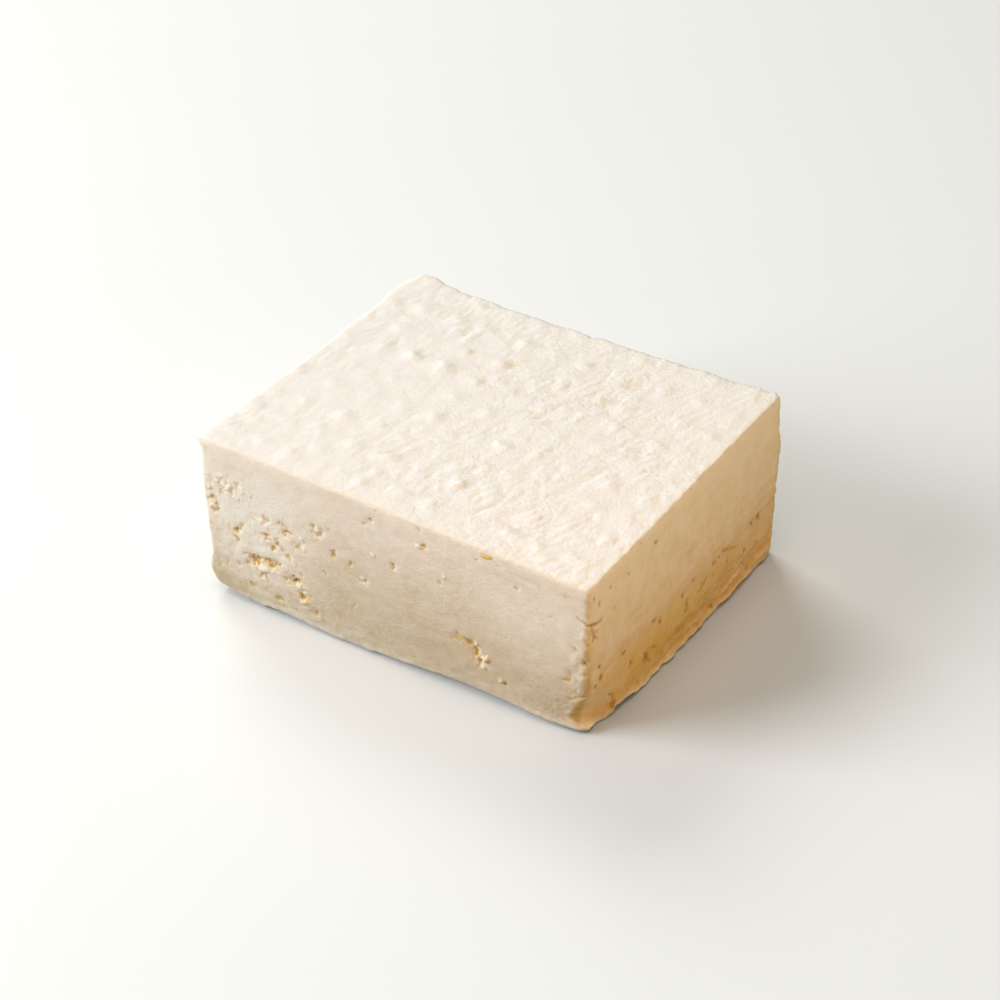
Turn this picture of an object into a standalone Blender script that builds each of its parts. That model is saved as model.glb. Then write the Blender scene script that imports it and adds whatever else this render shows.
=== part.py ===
"""A block of momen tofu: firm bean curd, pressed in a cloth-lined box and cut by hand.

The block is one solid of curd. Its top keeps the soft lumps of the pressing cloth, its sides are
knife cuts that open small hollows in the curd, and its lower corners are worn round. It lies on
its flat underside. X runs along the long front face, Y from front to back, Z up, in metres.

Run with: blender --background --python part.py
"""

import itertools
import math
from collections import namedtuple

import bmesh
import bpy
import numpy as np
from mathutils import Matrix, Vector

MM = 0.001

# The true box that the cuts were aiming at.
LENGTH = 100.0 * MM
DEPTH = 83.2 * MM
HEIGHT = 42.8 * MM
HALF = np.array([LENGTH, DEPTH, HEIGHT]) / 2

# How far each corner of the real block stands off the true box, in X and Y, at the top and the base.
CORNER_LEAN = {
    (-1, -1): ((-1.3 * MM, 0.0 * MM), (0.1 * MM, 0.6 * MM)),
    (1, -1): ((0.6 * MM, -1.0 * MM), (-0.4 * MM, 1.6 * MM)),
    (1, 1): ((-0.4 * MM, 0.7 * MM), (1.1 * MM, -0.7 * MM)),
    (-1, 1): ((0.2 * MM, 0.1 * MM), (0.4 * MM, -0.4 * MM)),
}

# Edge radii: knife-sharp round the top, softer along the base, and worn round at the base corners.
TOP_EDGE = 0.6 * MM
BASE_EDGE = 1.5 * MM
SOFT_HEIGHT = 0.6  # share of the height above which an edge is as sharp as the knife left it
BASE_CORNER_WEAR = {
    (-1, -1): 1.6 * MM,
    (1, -1): 3.0 * MM,
    (1, 1): 1.4 * MM,
    (-1, 1): 3.4 * MM,
}
CORNER_WEAR_REACH = 14.0 * MM
BACK_CORNER_WEAR = 2.2 * MM
BACK_CORNER_REACH = 7.0 * MM

# The curd sags a little over its base, and a thin skirt of skin hangs at the foot of the right face.
BELLY = 0.5 * MM
BELLY_HEIGHT = 0.3
SKIRT = 0.7 * MM
SKIRT_HEIGHT = 2.4 * MM
SKIRT_FADE = 1.2 * MM
SKIRT_END = 12.0 * MM
SKIRT_TONGUE = 6.0 * MM
SKIRT_RAGGED = 0.35
SKIRT_SEED = 8

# Where an edge of the real block stands off the cut form: the two faces that meet there as (axis, side),
# how far round the edge it is felt, which way it stands off, and how far at places along it, in mm.
Edge = namedtuple("Edge", "first second reach push line")
EDGES_MM = (
    # The front base edge lies a little proud of the board, most at the left end.
    Edge((1, -1), (2, -1), 7.0, (0, 0, 1), (
        (-50, 1.2), (-44, 1.2), (-38, 0.5), (-28, 0.7), (-20, 0.1), (-9, 0.0), (3, 0.5), (12, 0.7),
        (28, 0.7), (38, 0.4), (44, 0.0))),
    # So does the near end of the right base edge.
    Edge((0, 1), (2, -1), 7.0, (0, 0, 1), ((-30, 0.0), (-26, 1.0), (-20, 0.4), (-16, 0.0))),
    # The upright edge at the back right bulges backwards.
    Edge((0, 1), (1, 1), 9.0, (0, 1, 0), ((0, 1.0), (15, 1.0), (29, 1.8), (35, 0.9), (41, 0.1))),
    # The back top edge sagged in its middle.
    Edge((1, 1), (2, 1), 6.0, (0, 1, 0), (
        (-38, 0.0), (-22, -0.8), (-8, -0.7), (5, -0.5), (18, -0.5), (32, 0.3), (50, 0.6))),
)

# Relief: (size of a lump, height of a lump, seed of its noise).
CLOTH_LUMPS = ((9.0 * MM, 0.34 * MM, 3), (4.6 * MM, 0.30 * MM, 4))
CLOTH_STRETCH = 1.6
CLOTH_TURN = math.radians(16)
KNIFE_WAVES = ((34.0 * MM, 0.30 * MM, 5), (11.0 * MM, 0.14 * MM, 6))
FACE_REACH = 3.0 * MM

# The lattice of faces: spacing in the open, and the closer rows at the edges.
FACE_SPACING = 3.7 * MM
TOP_ROWS = np.array([0.0, 0.4, 1.3]) * MM
BASE_ROWS = np.array([0.0, 0.6, 1.4, 2.4, 3.8]) * MM
SIDE_ROWS = np.array([0.0, 0.5, 1.4]) * MM

# A swelling pushes the skin near a place outward, most at the place and not at all beyond its reach.
Swelling = namedtuple("Swelling", "place reach push")
# A hollow opens in a face at (across, up) and is an uneven pocket wide x tall x deep, turned in the face.
Hollow = namedtuple("Hollow", "face across up wide tall deep turn")
# A crumb stands out of a face in the same way.
Crumb = namedtuple("Crumb", "face across up wide tall high turn")

# On a side face, across runs to the right as one faces it, from its middle, and up runs from the base.
# On the top, across is X and up is Y, both from the middle.
FACES = {
    "front": (Vector((0, -1, 0)), Vector((0, 0, 1))),
    "right": (Vector((1, 0, 0)), Vector((0, 0, 1))),
    "back": (Vector((0, 1, 0)), Vector((0, 0, 1))),
    "left": (Vector((-1, 0, 0)), Vector((0, 0, 1))),
    "top": (Vector((0, 0, 1)), Vector((0, 1, 0))),
}

# Sizes in these tables are in millimetres and turns are in degrees.
SWELLINGS_MM = (
    # The foot of curd that spreads below the front right corner.
    Swelling((47.0, -38.5, 2.5), 8.0, (1.5, -1.5, 0.0)),
    # The curd left standing at the back left corner when the cloth was lifted.
    Swelling((-47.8, 41.6, 42.0), 5.0, (-0.3, 2.2, 1.0)),
    Swelling((-42.5, 41.6, 42.0), 4.5, (0.0, 2.0, 0.7)),
)
HOLLOWS_MM = (
    # The open, crumbly patch in the left third of the front face.
    Hollow("front", -45.6, 31.4, 3.4, 1.9, 0.9, 20),
    Hollow("front", -42.1, 20.6, 2.4, 1.5, 1.2, 35),
    Hollow("front", -33.7, 21.7, 2.2, 1.7, 1.3, 60),
    Hollow("front", -27.6, 25.5, 2.4, 1.2, 1.4, -8),
    Hollow("front", -32.4, 19.3, 1.3, 2.1, 1.1, 25),
    Hollow("front", -37.8, 13.6, 3.0, 2.3, 1.7, 12),
    Hollow("front", -34.2, 13.9, 2.8, 1.6, 1.3, -15),
    Hollow("front", -30.9, 15.0, 2.2, 1.7, 1.4, 30),
    Hollow("front", -34.9, 10.2, 2.4, 1.6, 1.1, -30),
    Hollow("front", -41.2, 6.9, 5.6, 1.2, 0.8, -4),
    Hollow("front", -25.8, 12.6, 2.4, 2.2, 2.4, 40),
    Hollow("front", -24.2, 9.1, 3.2, 1.6, 2.2, -8),
    Hollow("front", -20.7, 5.3, 2.9, 1.2, 1.0, 12),
    Hollow("front", -15.5, 24.9, 1.1, 2.5, 1.0, -8),
    Hollow("front", 7.9, 36.3, 2.2, 1.1, 1.0, -6),
    # The tear towards the right end of the front face, which runs down to the right.
    Hollow("front", 17.6, 16.3, 3.6, 1.4, 0.9, -6),
    Hollow("front", 20.2, 15.5, 2.2, 1.4, 1.5, -35),
    Hollow("front", 21.6, 13.4, 1.5, 2.6, 1.7, 20),
    Hollow("front", 22.9, 11.0, 2.3, 1.7, 1.9, 35),
    # Breaks along the front right edge.
    Hollow("front", 44.6, 17.2, 1.5, 2.8, 1.8, -18),
    Hollow("front", 49.0, 31.6, 3.4, 2.2, 1.5, -20),
    Hollow("right", -40.0, 31.4, 3.2, 1.4, 1.2, 18),
    Hollow("front", 47.6, 12.6, 2.2, 1.5, 1.4, 35),
    # The right face: short tears low down.
    Hollow("right", 18.4, 15.0, 4.6, 1.2, 1.2, -12),
    Hollow("right", 8.6, 11.9, 3.8, 1.1, 1.1, 24),
    Hollow("right", -15.6, 7.3, 1.8, 2.4, 1.6, -15),
    Hollow("right", -22.2, 9.8, 1.1, 2.9, 1.3, -6),
    Hollow("right", -30.0, 4.9, 1.2, 3.6, 1.3, 6),
    Hollow("right", -32.3, 15.9, 2.0, 1.2, 0.9, 20),
    # The back and left faces are cut through the same curd.
    Hollow("back", -31.0, 24.0, 2.6, 1.6, 1.6, 20),
    Hollow("back", -26.5, 20.5, 3.2, 1.8, 1.4, -25),
    Hollow("back", -33.5, 15.0, 1.8, 2.6, 1.5, 10),
    Hollow("back", 2.0, 29.0, 2.4, 1.3, 1.1, 0),
    Hollow("back", 12.5, 11.0, 3.6, 1.4, 1.5, 15),
    Hollow("back", 35.0, 19.0, 2.0, 2.4, 1.7, -30),
    Hollow("left", -22.0, 27.0, 2.4, 1.6, 1.3, 30),
    Hollow("left", -17.5, 12.0, 3.4, 1.5, 1.5, -10),
    Hollow("left", 9.0, 18.0, 1.6, 2.6, 1.4, 5),
    Hollow("left", 27.5, 9.5, 2.8, 1.6, 1.2, -20),
)
CRUMBS_MM = (
    # Loose bits on the standing curd.
    Crumb("top", -45.0, 40.6, 2.2, 1.6, 0.5, 15),
    Crumb("back", 40.4, 41.0, 2.4, 1.5, 0.6, 10),
    # Torn curd below the tear, and beads of curd on the cut faces.
    Crumb("front", 24.6, 10.6, 1.9, 2.6, 0.8, -30),
    Crumb("front", 29.1, 7.6, 1.9, 1.3, 0.7, -25),
    Crumb("front", 6.3, 37.4, 2.0, 1.2, 0.6, 10),
    Crumb("front", -36.2, 11.9, 2.6, 1.4, 0.5, 10),
    Crumb("front", -19.4, 28.2, 1.6, 1.3, 0.5, 0),
)
POCKET_ROUGHNESS = 0.22
POCKET_LUMPS = 1.7
FINE_POCKET = 2.0 * MM

CURD_COLOUR = "F1E6D2"
CURD_ROUGHNESS = 0.5
NOISE_CELLS = 32


def smooth_step(value):
    value = np.clip(value, 0, 1)
    return value * value * (3 - 2 * value)


def lumps(points, seed):
    """Smooth random heights from -1 to 1, about one lump per unit: random values on a lattice, blended."""
    table = np.random.default_rng(seed).uniform(-1, 1, (NOISE_CELLS,) * 3)
    low = np.floor(points).astype(int)
    share = smooth_step(points - low)
    height = np.zeros(len(points))
    for corner in itertools.product((0, 1), repeat=3):
        weight = np.prod(np.where(corner, share, 1 - share), axis=1)
        height += weight * table[tuple(((low + corner) % NOISE_CELLS).T)]
    return height


def box_skin(stations):
    """The skin of a box as points and outward quads, with lattice lines at the stations of each axis."""
    quads = []
    for axis in range(3):
        across, along = (axis + 1) % 3, (axis + 2) % 3
        rows = np.arange(len(stations[across]) - 1)
        columns = np.arange(len(stations[along]) - 1)
        row, column = (grid.ravel() for grid in np.meshgrid(rows, columns, indexing="ij"))
        for end in (0, len(stations[axis]) - 1):
            outward = ((0, 0), (1, 0), (1, 1), (0, 1))
            quad = np.full((len(row), 4, 3), end)
            for n, (down, over) in enumerate(outward if end else outward[::-1]):
                quad[:, n, across] = row + down
                quad[:, n, along] = column + over
            quads.append(quad)
    places, index = np.unique(np.concatenate(quads).reshape(-1, 3), axis=0, return_inverse=True)
    points = np.stack([np.asarray(stations[axis])[places[:, axis]] for axis in range(3)], axis=1)
    return points, index.reshape(-1, 4)


def stations(half, low_rows, high_rows):
    """Lattice lines from -half to half: the given rows in from each end, and even spacing between."""
    start, stop = -half + low_rows[-1], half - high_rows[-1]
    between = max(2, round((stop - start) / FACE_SPACING))
    middle = np.linspace(start, stop, between + 1)
    return np.concatenate([-half + low_rows[:-1], middle, half - high_rows[-2::-1]])


def edge_radius(points):
    """The radius to which the curd is worn at each point of the true box's skin."""
    height = (points[:, 2] + HALF[2]) / HEIGHT
    radius = BASE_EDGE + (TOP_EDGE - BASE_EDGE) * smooth_step(height / SOFT_HEIGHT)
    for (x_side, y_side), wear in BASE_CORNER_WEAR.items():
        corner = HALF * (x_side, y_side, -1)
        distance = np.linalg.norm(points - corner, axis=1)
        radius += wear * smooth_step(1 - distance / CORNER_WEAR_REACH)
    back_corner = HALF * (-1, 1, 1)
    distance = np.linalg.norm(points - back_corner, axis=1)
    return radius + BACK_CORNER_WEAR * smooth_step(1 - distance / BACK_CORNER_REACH)


def wear_edges(points):
    """Rounds the box: each point is held at its radius from the core that is left after the rounding."""
    radius = edge_radius(points)[:, None]
    core = np.clip(points, -(HALF - radius), HALF - radius)
    outward = points - core
    return core + outward * radius / np.linalg.norm(outward, axis=1, keepdims=True)


def lean_corners(points):
    """Moves the points in plan as the eight corners lean, in proportion to how near each corner is."""
    share = points / HALF
    height = (share[:, 2] + 1) / 2
    moved = points.copy()
    for (x_side, y_side), (top, base) in CORNER_LEAN.items():
        near = (1 + x_side * share[:, 0]) * (1 + y_side * share[:, 1]) / 4
        for axis in (0, 1):
            moved[:, axis] += near * (base[axis] + (top[axis] - base[axis]) * height)
    return moved


def on_face(points, axis, side):
    """1 on one face of the true box, falling to 0 a short way behind it."""
    return smooth_step(1 - (HALF[axis] - side * points[:, axis]) / FACE_REACH)


def cloth_relief(points):
    """Height of the soft lumps that the cotton cloth leaves on the top."""
    turn = np.array(Matrix.Rotation(CLOTH_TURN, 2))
    plan = points[:, :2] @ turn.T / (1, CLOTH_STRETCH)
    flat = np.column_stack([plan, np.zeros(len(points))])
    return sum(high * lumps(flat / size, seed) for size, high, seed in CLOTH_LUMPS)


def knife_relief(points):
    """How far the cut faces wander in and out of their plane."""
    return sum(high * lumps(points / size, seed) for size, high, seed in KNIFE_WAVES)


def belly_relief(points, along):
    """The outward sag of a side face, which is fullest low down in the middle of its length."""
    height = (points[:, 2] + HALF[2]) / HEIGHT
    rise = np.sin(np.pi * np.clip(height, 0, 1) ** (math.log(0.5) / math.log(BELLY_HEIGHT)))
    return BELLY * rise * (1 - (points[:, along] / HALF[along]) ** 2)


def skirt_relief(points):
    """The thin, ragged skirt of skin at the foot of the right face."""
    above_base = points[:, 2] + HALF[2]
    ragged = 1 - SKIRT_RAGGED + SKIRT_RAGGED * lumps(points * (0, 1, 0) / SKIRT_TONGUE, SKIRT_SEED)
    low = smooth_step((SKIRT_HEIGHT - above_base) / SKIRT_FADE)
    ends = smooth_step((HALF[1] - np.abs(points[:, 1])) / SKIRT_END)
    return SKIRT * ragged * low * ends


def swell(true_points, moved):
    """Pushes the moved points outward near each swelling, by where they began on the true box."""
    for place, reach, push in SWELLINGS_MM:
        centre = np.array(place) * MM - (0, 0, HALF[2])
        distance = np.linalg.norm(true_points - centre, axis=1)
        moved += smooth_step(1 - distance / (reach * MM))[:, None] * np.array(push) * MM
    return moved


def stand_off_edges(true_points, moved):
    """Pushes the moved points near each listed edge, by how far along and how near the edge they began."""
    for (first, first_side), (second, second_side), reach, push, line in EDGES_MM:
        first_gap = HALF[first] - first_side * true_points[:, first]
        second_gap = HALF[second] - second_side * true_points[:, second]
        nearness = smooth_step(1 - np.hypot(first_gap, second_gap) / (reach * MM))
        axis = 3 - first - second
        along = true_points[:, axis] + (HALF[2] if axis == 2 else 0)
        amount = nearness * np.interp(along / MM, *zip(*line))
        moved += amount[:, None] * np.array(push) * MM
    return moved


def real_surface(points):
    """Where points on the skin of the true box lie on the real block."""
    moved = lean_corners(wear_edges(points))
    for axis, side in itertools.product((0, 1), (-1, 1)):
        bulge = knife_relief(points) + belly_relief(points, 1 - axis)
        moved[:, axis] += side * on_face(points, axis, side) * bulge
    moved[:, 0] += on_face(points, 0, 1) * skirt_relief(points)
    moved[:, 2] += on_face(points, 2, 1) * cloth_relief(points)
    moved = stand_off_edges(points, swell(points, moved))
    moved[:, 2] = np.maximum(moved[:, 2], -HALF[2])
    return moved


def mesh_object(name, points, faces):
    mesh = bpy.data.meshes.new(name)
    mesh.from_pydata(np.asarray(points).tolist(), [], np.asarray(faces).tolist())
    made = bpy.data.objects.new(name, mesh)
    bpy.context.scene.collection.objects.link(made)
    return made


def face_frame(spot):
    """The turn and place of a hollow or crumb: its Z points out of the face, at the real surface."""
    out, up = FACES[spot.face]
    across = up.cross(out)
    level = up * (spot.up * MM - (HALF[2] if spot.face != "top" else 0))
    reach = Vector([abs(part) * half for part, half in zip(out, HALF)])
    true_place = across * spot.across * MM + level + Vector([part * half for part, half in zip(out, reach)])
    place = Vector(real_surface(np.array([true_place]))[0])
    turn = Matrix((across, up, out)).transposed().to_4x4()
    return Matrix.Translation(place) @ turn @ Matrix.Rotation(math.radians(spot.turn), 4, "Z")


def uneven_ball(radii, seed):
    """Points and faces of a ball with uneven walls, with the given three radii."""
    ball = bmesh.new()
    detail = 1 if min(radii[:2]) * 2 < FINE_POCKET else 2
    bmesh.ops.create_icosphere(ball, subdivisions=detail, radius=1.0)
    points = np.array([vertex.co for vertex in ball.verts])
    faces = np.array([[vertex.index for vertex in face.verts] for face in ball.faces])
    ball.free()
    points *= 1 + POCKET_ROUGHNESS * lumps(points * POCKET_LUMPS, seed)[:, None]
    return points * radii, faces


def hollow_ball(spot, seed):
    """The pocket of a hollow, centred on the face so that half of it cuts."""
    return uneven_ball(np.array([spot.wide / 2, spot.tall / 2, spot.deep]) * MM, seed)


def crumb_ball(spot, seed):
    """A crumb, sunk until only its given height stands out of the face."""
    thick = max(spot.high, min(spot.wide, spot.tall) / 2)
    points, faces = uneven_ball(np.array([spot.wide / 2, spot.tall / 2, thick]) * MM, seed)
    return points - (0, 0, (thick - spot.high) * MM), faces


def joined_balls(name, spots, ball_of):
    """One hidden guide object that holds every ball, for a Boolean to cut or add in one go."""
    all_points, all_faces, count = [], [], 0
    for seed, spot in enumerate(spots):
        points, faces = ball_of(spot, seed)
        frame = face_frame(spot)
        points = points @ np.array(frame.to_3x3()).T + np.array(frame.translation)
        all_points.append(points)
        all_faces.append(faces + count)
        count += len(points)
    guide = mesh_object(name, np.concatenate(all_points), np.concatenate(all_faces))
    guide.hide_render = True
    guide.display_type = "WIRE"
    return guide


def add_boolean(block, guide, operation):
    boolean = block.modifiers.new(guide.name, "BOOLEAN")
    boolean.operation = operation
    boolean.solver = "EXACT"
    boolean.use_self = True
    boolean.object = guide


def linear_colour(hex_code):
    """The linear colour that Blender wants, from an sRGB hex code."""
    parts = [int(hex_code[n : n + 2], 16) / 255 for n in (0, 2, 4)]
    linear = [part / 12.92 if part <= 0.04045 else ((part + 0.055) / 1.055) ** 2.4 for part in parts]
    return (*linear, 1.0)


def curd_material():
    curd = bpy.data.materials.new("bean_curd")
    curd.use_nodes = True
    shader = curd.node_tree.nodes["Principled BSDF"]
    shader.inputs["Base Color"].default_value = linear_colour(CURD_COLOUR)
    shader.inputs["Roughness"].default_value = CURD_ROUGHNESS
    shader.inputs["Metallic"].default_value = 0.0
    return curd


def stand_on_origin(objects, block):
    """Moves everything so that the finished block stands on Z = 0, centred on the origin in plan."""
    bpy.context.view_layer.update()
    shape = block.evaluated_get(bpy.context.evaluated_depsgraph_get()).to_mesh()
    points = np.array([vertex.co for vertex in shape.vertices])
    low, high = points.min(axis=0), points.max(axis=0)
    for moved in objects:
        moved.location = (-(low[0] + high[0]) / 2, -(low[1] + high[1]) / 2, -low[2])


def main():
    for old in list(bpy.data.objects):
        bpy.data.objects.remove(old)
    lattice = (
        stations(HALF[0], SIDE_ROWS, SIDE_ROWS),
        stations(HALF[1], SIDE_ROWS, SIDE_ROWS),
        stations(HALF[2], BASE_ROWS, TOP_ROWS),
    )
    points, faces = box_skin(lattice)
    block = mesh_object("tofu_block", real_surface(points), faces)
    block.data.materials.append(curd_material())
    crumbs = joined_balls("crumb_guide", CRUMBS_MM, crumb_ball)
    hollows = joined_balls("hollow_cutter", HOLLOWS_MM, hollow_ball)
    add_boolean(block, crumbs, "UNION")
    add_boolean(block, hollows, "DIFFERENCE")
    stand_on_origin((block, crumbs, hollows), block)


main()
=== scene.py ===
# %% [markdown]
# # A block of momen tofu
# Momen tofu is firm bean curd. It is pressed in a box lined with cotton cloth and cut into blocks with a
# knife. Its whole look comes from how it was made: the top keeps the soft lumps of the cloth, the sides are
# clean cuts that open small hollows in the curd, and moist curd lets light a little way in, so that hollows
# and shaded sides glow warm instead of going grey. Part of that warm glow and of the shade is also painted
# into the colour.
#
# The plan is to take the size of the finished solid from the frame, to build one fine skin of quads in its
# place, and to push every point of that skin in or out with functions: one for each thing that the press,
# the knife and the cook's hands did.

import itertools
import math
from collections import namedtuple

import bmesh
import bpy
import numpy as np
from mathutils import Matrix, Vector


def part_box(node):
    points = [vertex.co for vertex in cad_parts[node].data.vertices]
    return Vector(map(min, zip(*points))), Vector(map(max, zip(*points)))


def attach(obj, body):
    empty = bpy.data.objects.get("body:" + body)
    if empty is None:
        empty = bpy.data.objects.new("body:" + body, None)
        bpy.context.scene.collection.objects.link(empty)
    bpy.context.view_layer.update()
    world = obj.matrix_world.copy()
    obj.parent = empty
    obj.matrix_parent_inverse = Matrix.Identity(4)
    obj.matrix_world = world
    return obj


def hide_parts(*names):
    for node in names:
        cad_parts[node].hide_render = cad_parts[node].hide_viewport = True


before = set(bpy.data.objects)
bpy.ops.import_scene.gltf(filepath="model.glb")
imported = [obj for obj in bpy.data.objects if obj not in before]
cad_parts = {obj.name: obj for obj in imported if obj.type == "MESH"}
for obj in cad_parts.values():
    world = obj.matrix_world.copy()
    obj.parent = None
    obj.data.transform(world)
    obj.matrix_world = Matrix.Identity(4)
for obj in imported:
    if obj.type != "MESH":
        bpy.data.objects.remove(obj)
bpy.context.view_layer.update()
MM = 0.001
NODE = "tofu_block"
BODY = "root"
block_low, block_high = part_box(NODE)
block_size = np.array(block_high - block_low) / MM
block_centre = np.array(block_high + block_low) / 2 / MM

# %% [markdown]
# ## The camera
# The block is seen from in front, a little round to its right and well above it, through a long lens, so
# the edges that run away from the eye draw together only a little. The camera is placed by naming those
# facts: the angle round the block, the angle above the table, the distance and the point it looks at.

# %% Place the camera
VIEW_ROUND = math.radians(32.7)
VIEW_ABOVE = math.radians(35.8)
VIEW_DISTANCE = 0.600
LENS_MM = 95.0
SENSOR_MM = 36.0
AIM_MM = (1.96, -1.06, 21.5)


def direction(round_angle, above_angle):
    """The unit vector from the block towards a place round it (0 is the front) and above the table."""
    flat = math.cos(above_angle)
    return Vector((math.sin(round_angle) * flat, -math.cos(round_angle) * flat, math.sin(above_angle)))


def look_at(thing, target):
    """Turns a camera or lamp, which look along their own -Z, to face a point."""
    thing.rotation_euler = (target - thing.location).to_track_quat("-Z", "Y").to_euler()


aim = Vector(AIM_MM) * MM
camera_data = bpy.data.cameras.new("table_view")
camera_data.lens = LENS_MM
camera_data.sensor_width = SENSOR_MM
camera_data.clip_start = 0.01
camera = bpy.data.objects.new("table_view", camera_data)
bpy.context.scene.collection.objects.link(camera)
camera.location = aim + direction(VIEW_ROUND, VIEW_ABOVE) * VIEW_DISTANCE
look_at(camera, aim)
bpy.context.scene.camera = camera
print("camera at", [round(part, 3) for part in camera.location])

# %% [markdown]
# ## Random fields
# Curd is uneven at every scale, and two kinds of unevenness cover it. Smooth noise rises and falls like
# hills, with a chosen size of hill. Grain noise measures how far a point is from the nearest of many
# scattered centres, which gives fine holes as far apart as those centres. Both are worked out with arrays
# for all points at once, because the skin has hundreds of thousands of points.

# %% Smooth noise and grain noise
TABLE_SIZE = 256
# Moves the cells of the noise off the block's middle, so that no mark lies even about it.
NOISE_START = 100.37
# Bring the hills to about -1 to 1, and the billows to about -0.8 to 1.
HILL_GAIN = 1.6
BILLOW_GAIN = 2.4
CREASE_DEPTH = 0.8


def smooth_step(value):
    value = np.clip(value, 0.0, 1.0)
    return value * value * (3.0 - 2.0 * value)


def fade(value, zero_at, one_at):
    """0 up to one value and 1 from another, and smooth in between; it falls if one_at is the lower."""
    return smooth_step((value - zero_at) / (one_at - zero_at))


def shuffled_index(cells, seed):
    """A repeatable random index for each whole-numbered cell."""
    shuffle = np.random.default_rng(seed).permutation(TABLE_SIZE)
    index = shuffle[cells[:, 0] % TABLE_SIZE]
    index = shuffle[(index + cells[:, 1]) % TABLE_SIZE]
    return shuffle[(index + cells[:, 2]) % TABLE_SIZE]


def hills(points, size, seed, stretch=(1, 1, 1)):
    """Smooth noise from about -1 to 1, with hills size mm apart, longer along each axis by its stretch."""
    places = points / (size * np.array(stretch, float)) + NOISE_START
    slopes = np.random.default_rng(seed).normal(size=(TABLE_SIZE, 3))
    slopes /= np.linalg.norm(slopes, axis=1, keepdims=True)
    low = np.floor(places).astype(int)
    share = places - low
    # The fifth-power curve keeps both slope and curvature even from cell to cell.
    blend = share**3 * (share * (share * 6 - 15) + 10)
    height = np.zeros(len(points))
    for corner in itertools.product((0, 1), repeat=3):
        slope = slopes[shuffled_index(low + corner, seed)]
        rise = np.einsum("ij,ij->i", share - corner, slope)
        weight = np.prod(np.where(corner, blend, 1 - blend), axis=1)
        height += weight * rise
    return height * HILL_GAIN


def billows(points, size, seed, stretch=(1, 1, 1)):
    """Noise of rounded lumps with sharp creases between them."""
    return BILLOW_GAIN * np.abs(hills(points, size, seed, stretch)) - CREASE_DEPTH


def layers(noise, points, rows, stretch=(1, 1, 1)):
    """One kind of noise at several sizes, added up from rows of size in mm, height and seed."""
    return sum(high * noise(points, size, seed, stretch) for size, high, seed in rows)


def grain_distance(points, size, seed):
    """The distance to the nearest grain centre, in grain sizes: 0 on a grain's middle, about 0.8 between."""
    places = points / size + NOISE_START
    offsets = np.random.default_rng(seed).uniform(0.1, 0.9, (TABLE_SIZE, 3))
    low = np.floor(places).astype(int)
    nearest = np.full(len(points), np.inf)
    for step in itertools.product((-1, 0, 1), repeat=3):
        cell = low + step
        centre = cell + offsets[shuffled_index(cell, seed)]
        nearest = np.minimum(nearest, np.sum((places - centre) ** 2, axis=1))
    return np.sqrt(nearest)


# %% [markdown]
# ## The skin
# A box of quads is the simplest closed skin, and on it each point knows which face it is on. The lattice
# lines are packed closer at the edges, where the curd is rounded, and are evenly spaced in between. The
# true box is a little smaller than the finished block, whose sides lean and bulge past it.

# %% Build the lattice of the true box
SIDES_PAST_BOX = (2.67, 3.15, 1.30)
TRUE_SIZE = block_size - SIDES_PAST_BOX
HALF = TRUE_SIZE / 2
HEIGHT = TRUE_SIZE[2]
SPACING = 0.40
EDGE_ROWS = np.array([0.0, 0.12, 0.26, 0.44, 0.68, 1.0])
# More than the lattice lines on any axis, to give each lattice point one whole number.
KEY_STEP = 4096


def lattice_lines(half):
    """Places of the lattice lines along one axis, from -half to half."""
    inner = half - EDGE_ROWS[-1]
    middle = np.linspace(-inner, inner, round(2 * inner / SPACING) + 1)
    return np.concatenate([-half + EDGE_ROWS[:-1], middle, half - EDGE_ROWS[-2::-1]])


def box_skin(lines):
    """The points and outward quads of a box with the given lattice lines on each axis."""
    quads = []
    for axis in range(3):
        across, along = (axis + 1) % 3, (axis + 2) % 3
        rows = np.arange(len(lines[across]) - 1)
        columns = np.arange(len(lines[along]) - 1)
        row, column = (grid.ravel() for grid in np.meshgrid(rows, columns, indexing="ij"))
        for end in (0, len(lines[axis]) - 1):
            outward = ((0, 0), (1, 0), (1, 1), (0, 1))
            quad = np.full((len(row), 4, 3), end)
            for n, (down, over) in enumerate(outward if end else outward[::-1]):
                quad[:, n, across] = row + down
                quad[:, n, along] = column + over
            quads.append(quad)
    keys = np.concatenate(quads).reshape(-1, 3) @ (1, KEY_STEP, KEY_STEP**2)
    unique, index = np.unique(keys, return_inverse=True)
    places = np.stack([unique % KEY_STEP, unique // KEY_STEP % KEY_STEP, unique // KEY_STEP**2], axis=1)
    points = np.stack([lines[axis][places[:, axis]] for axis in range(3)], axis=1)
    return points, index.reshape(-1, 4)


box_points, box_quads = box_skin([lattice_lines(half) for half in HALF])
print("skin:", len(box_points), "points,", len(box_quads), "quads")

# %% [markdown]
# ## The cut form
# No hand cuts a true box. The corners stand a millimetre off it, the top edges are as sharp as the knife
# left them, the base edges are softer, and the base corners are worn round from handling. The rounding
# keeps each point at a radius from what is left of the box inside it, and the radius changes over the
# block.

# %% Round and lean the box
# How far each corner leans in plan, in mm, under the signs of its X and Y: at its top and at its base.
CORNER_LEAN = {
    (-1, -1): ((-1.3, 0.0), (0.1, 0.6)),
    (1, -1): ((0.6, -1.0), (-0.4, 1.6)),
    (1, 1): ((-0.4, 0.7), (1.1, -0.7)),
    (-1, 1): ((0.2, 0.1), (0.4, -0.4)),
}
TOP_EDGE = 0.55
BASE_EDGE = 1.6
SOFT_SHARE = 0.6
LEFT_EDGE = 0.9
FRONT_CORNER_EDGE = 0.9
EDGE_FADE = 4.0
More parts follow.
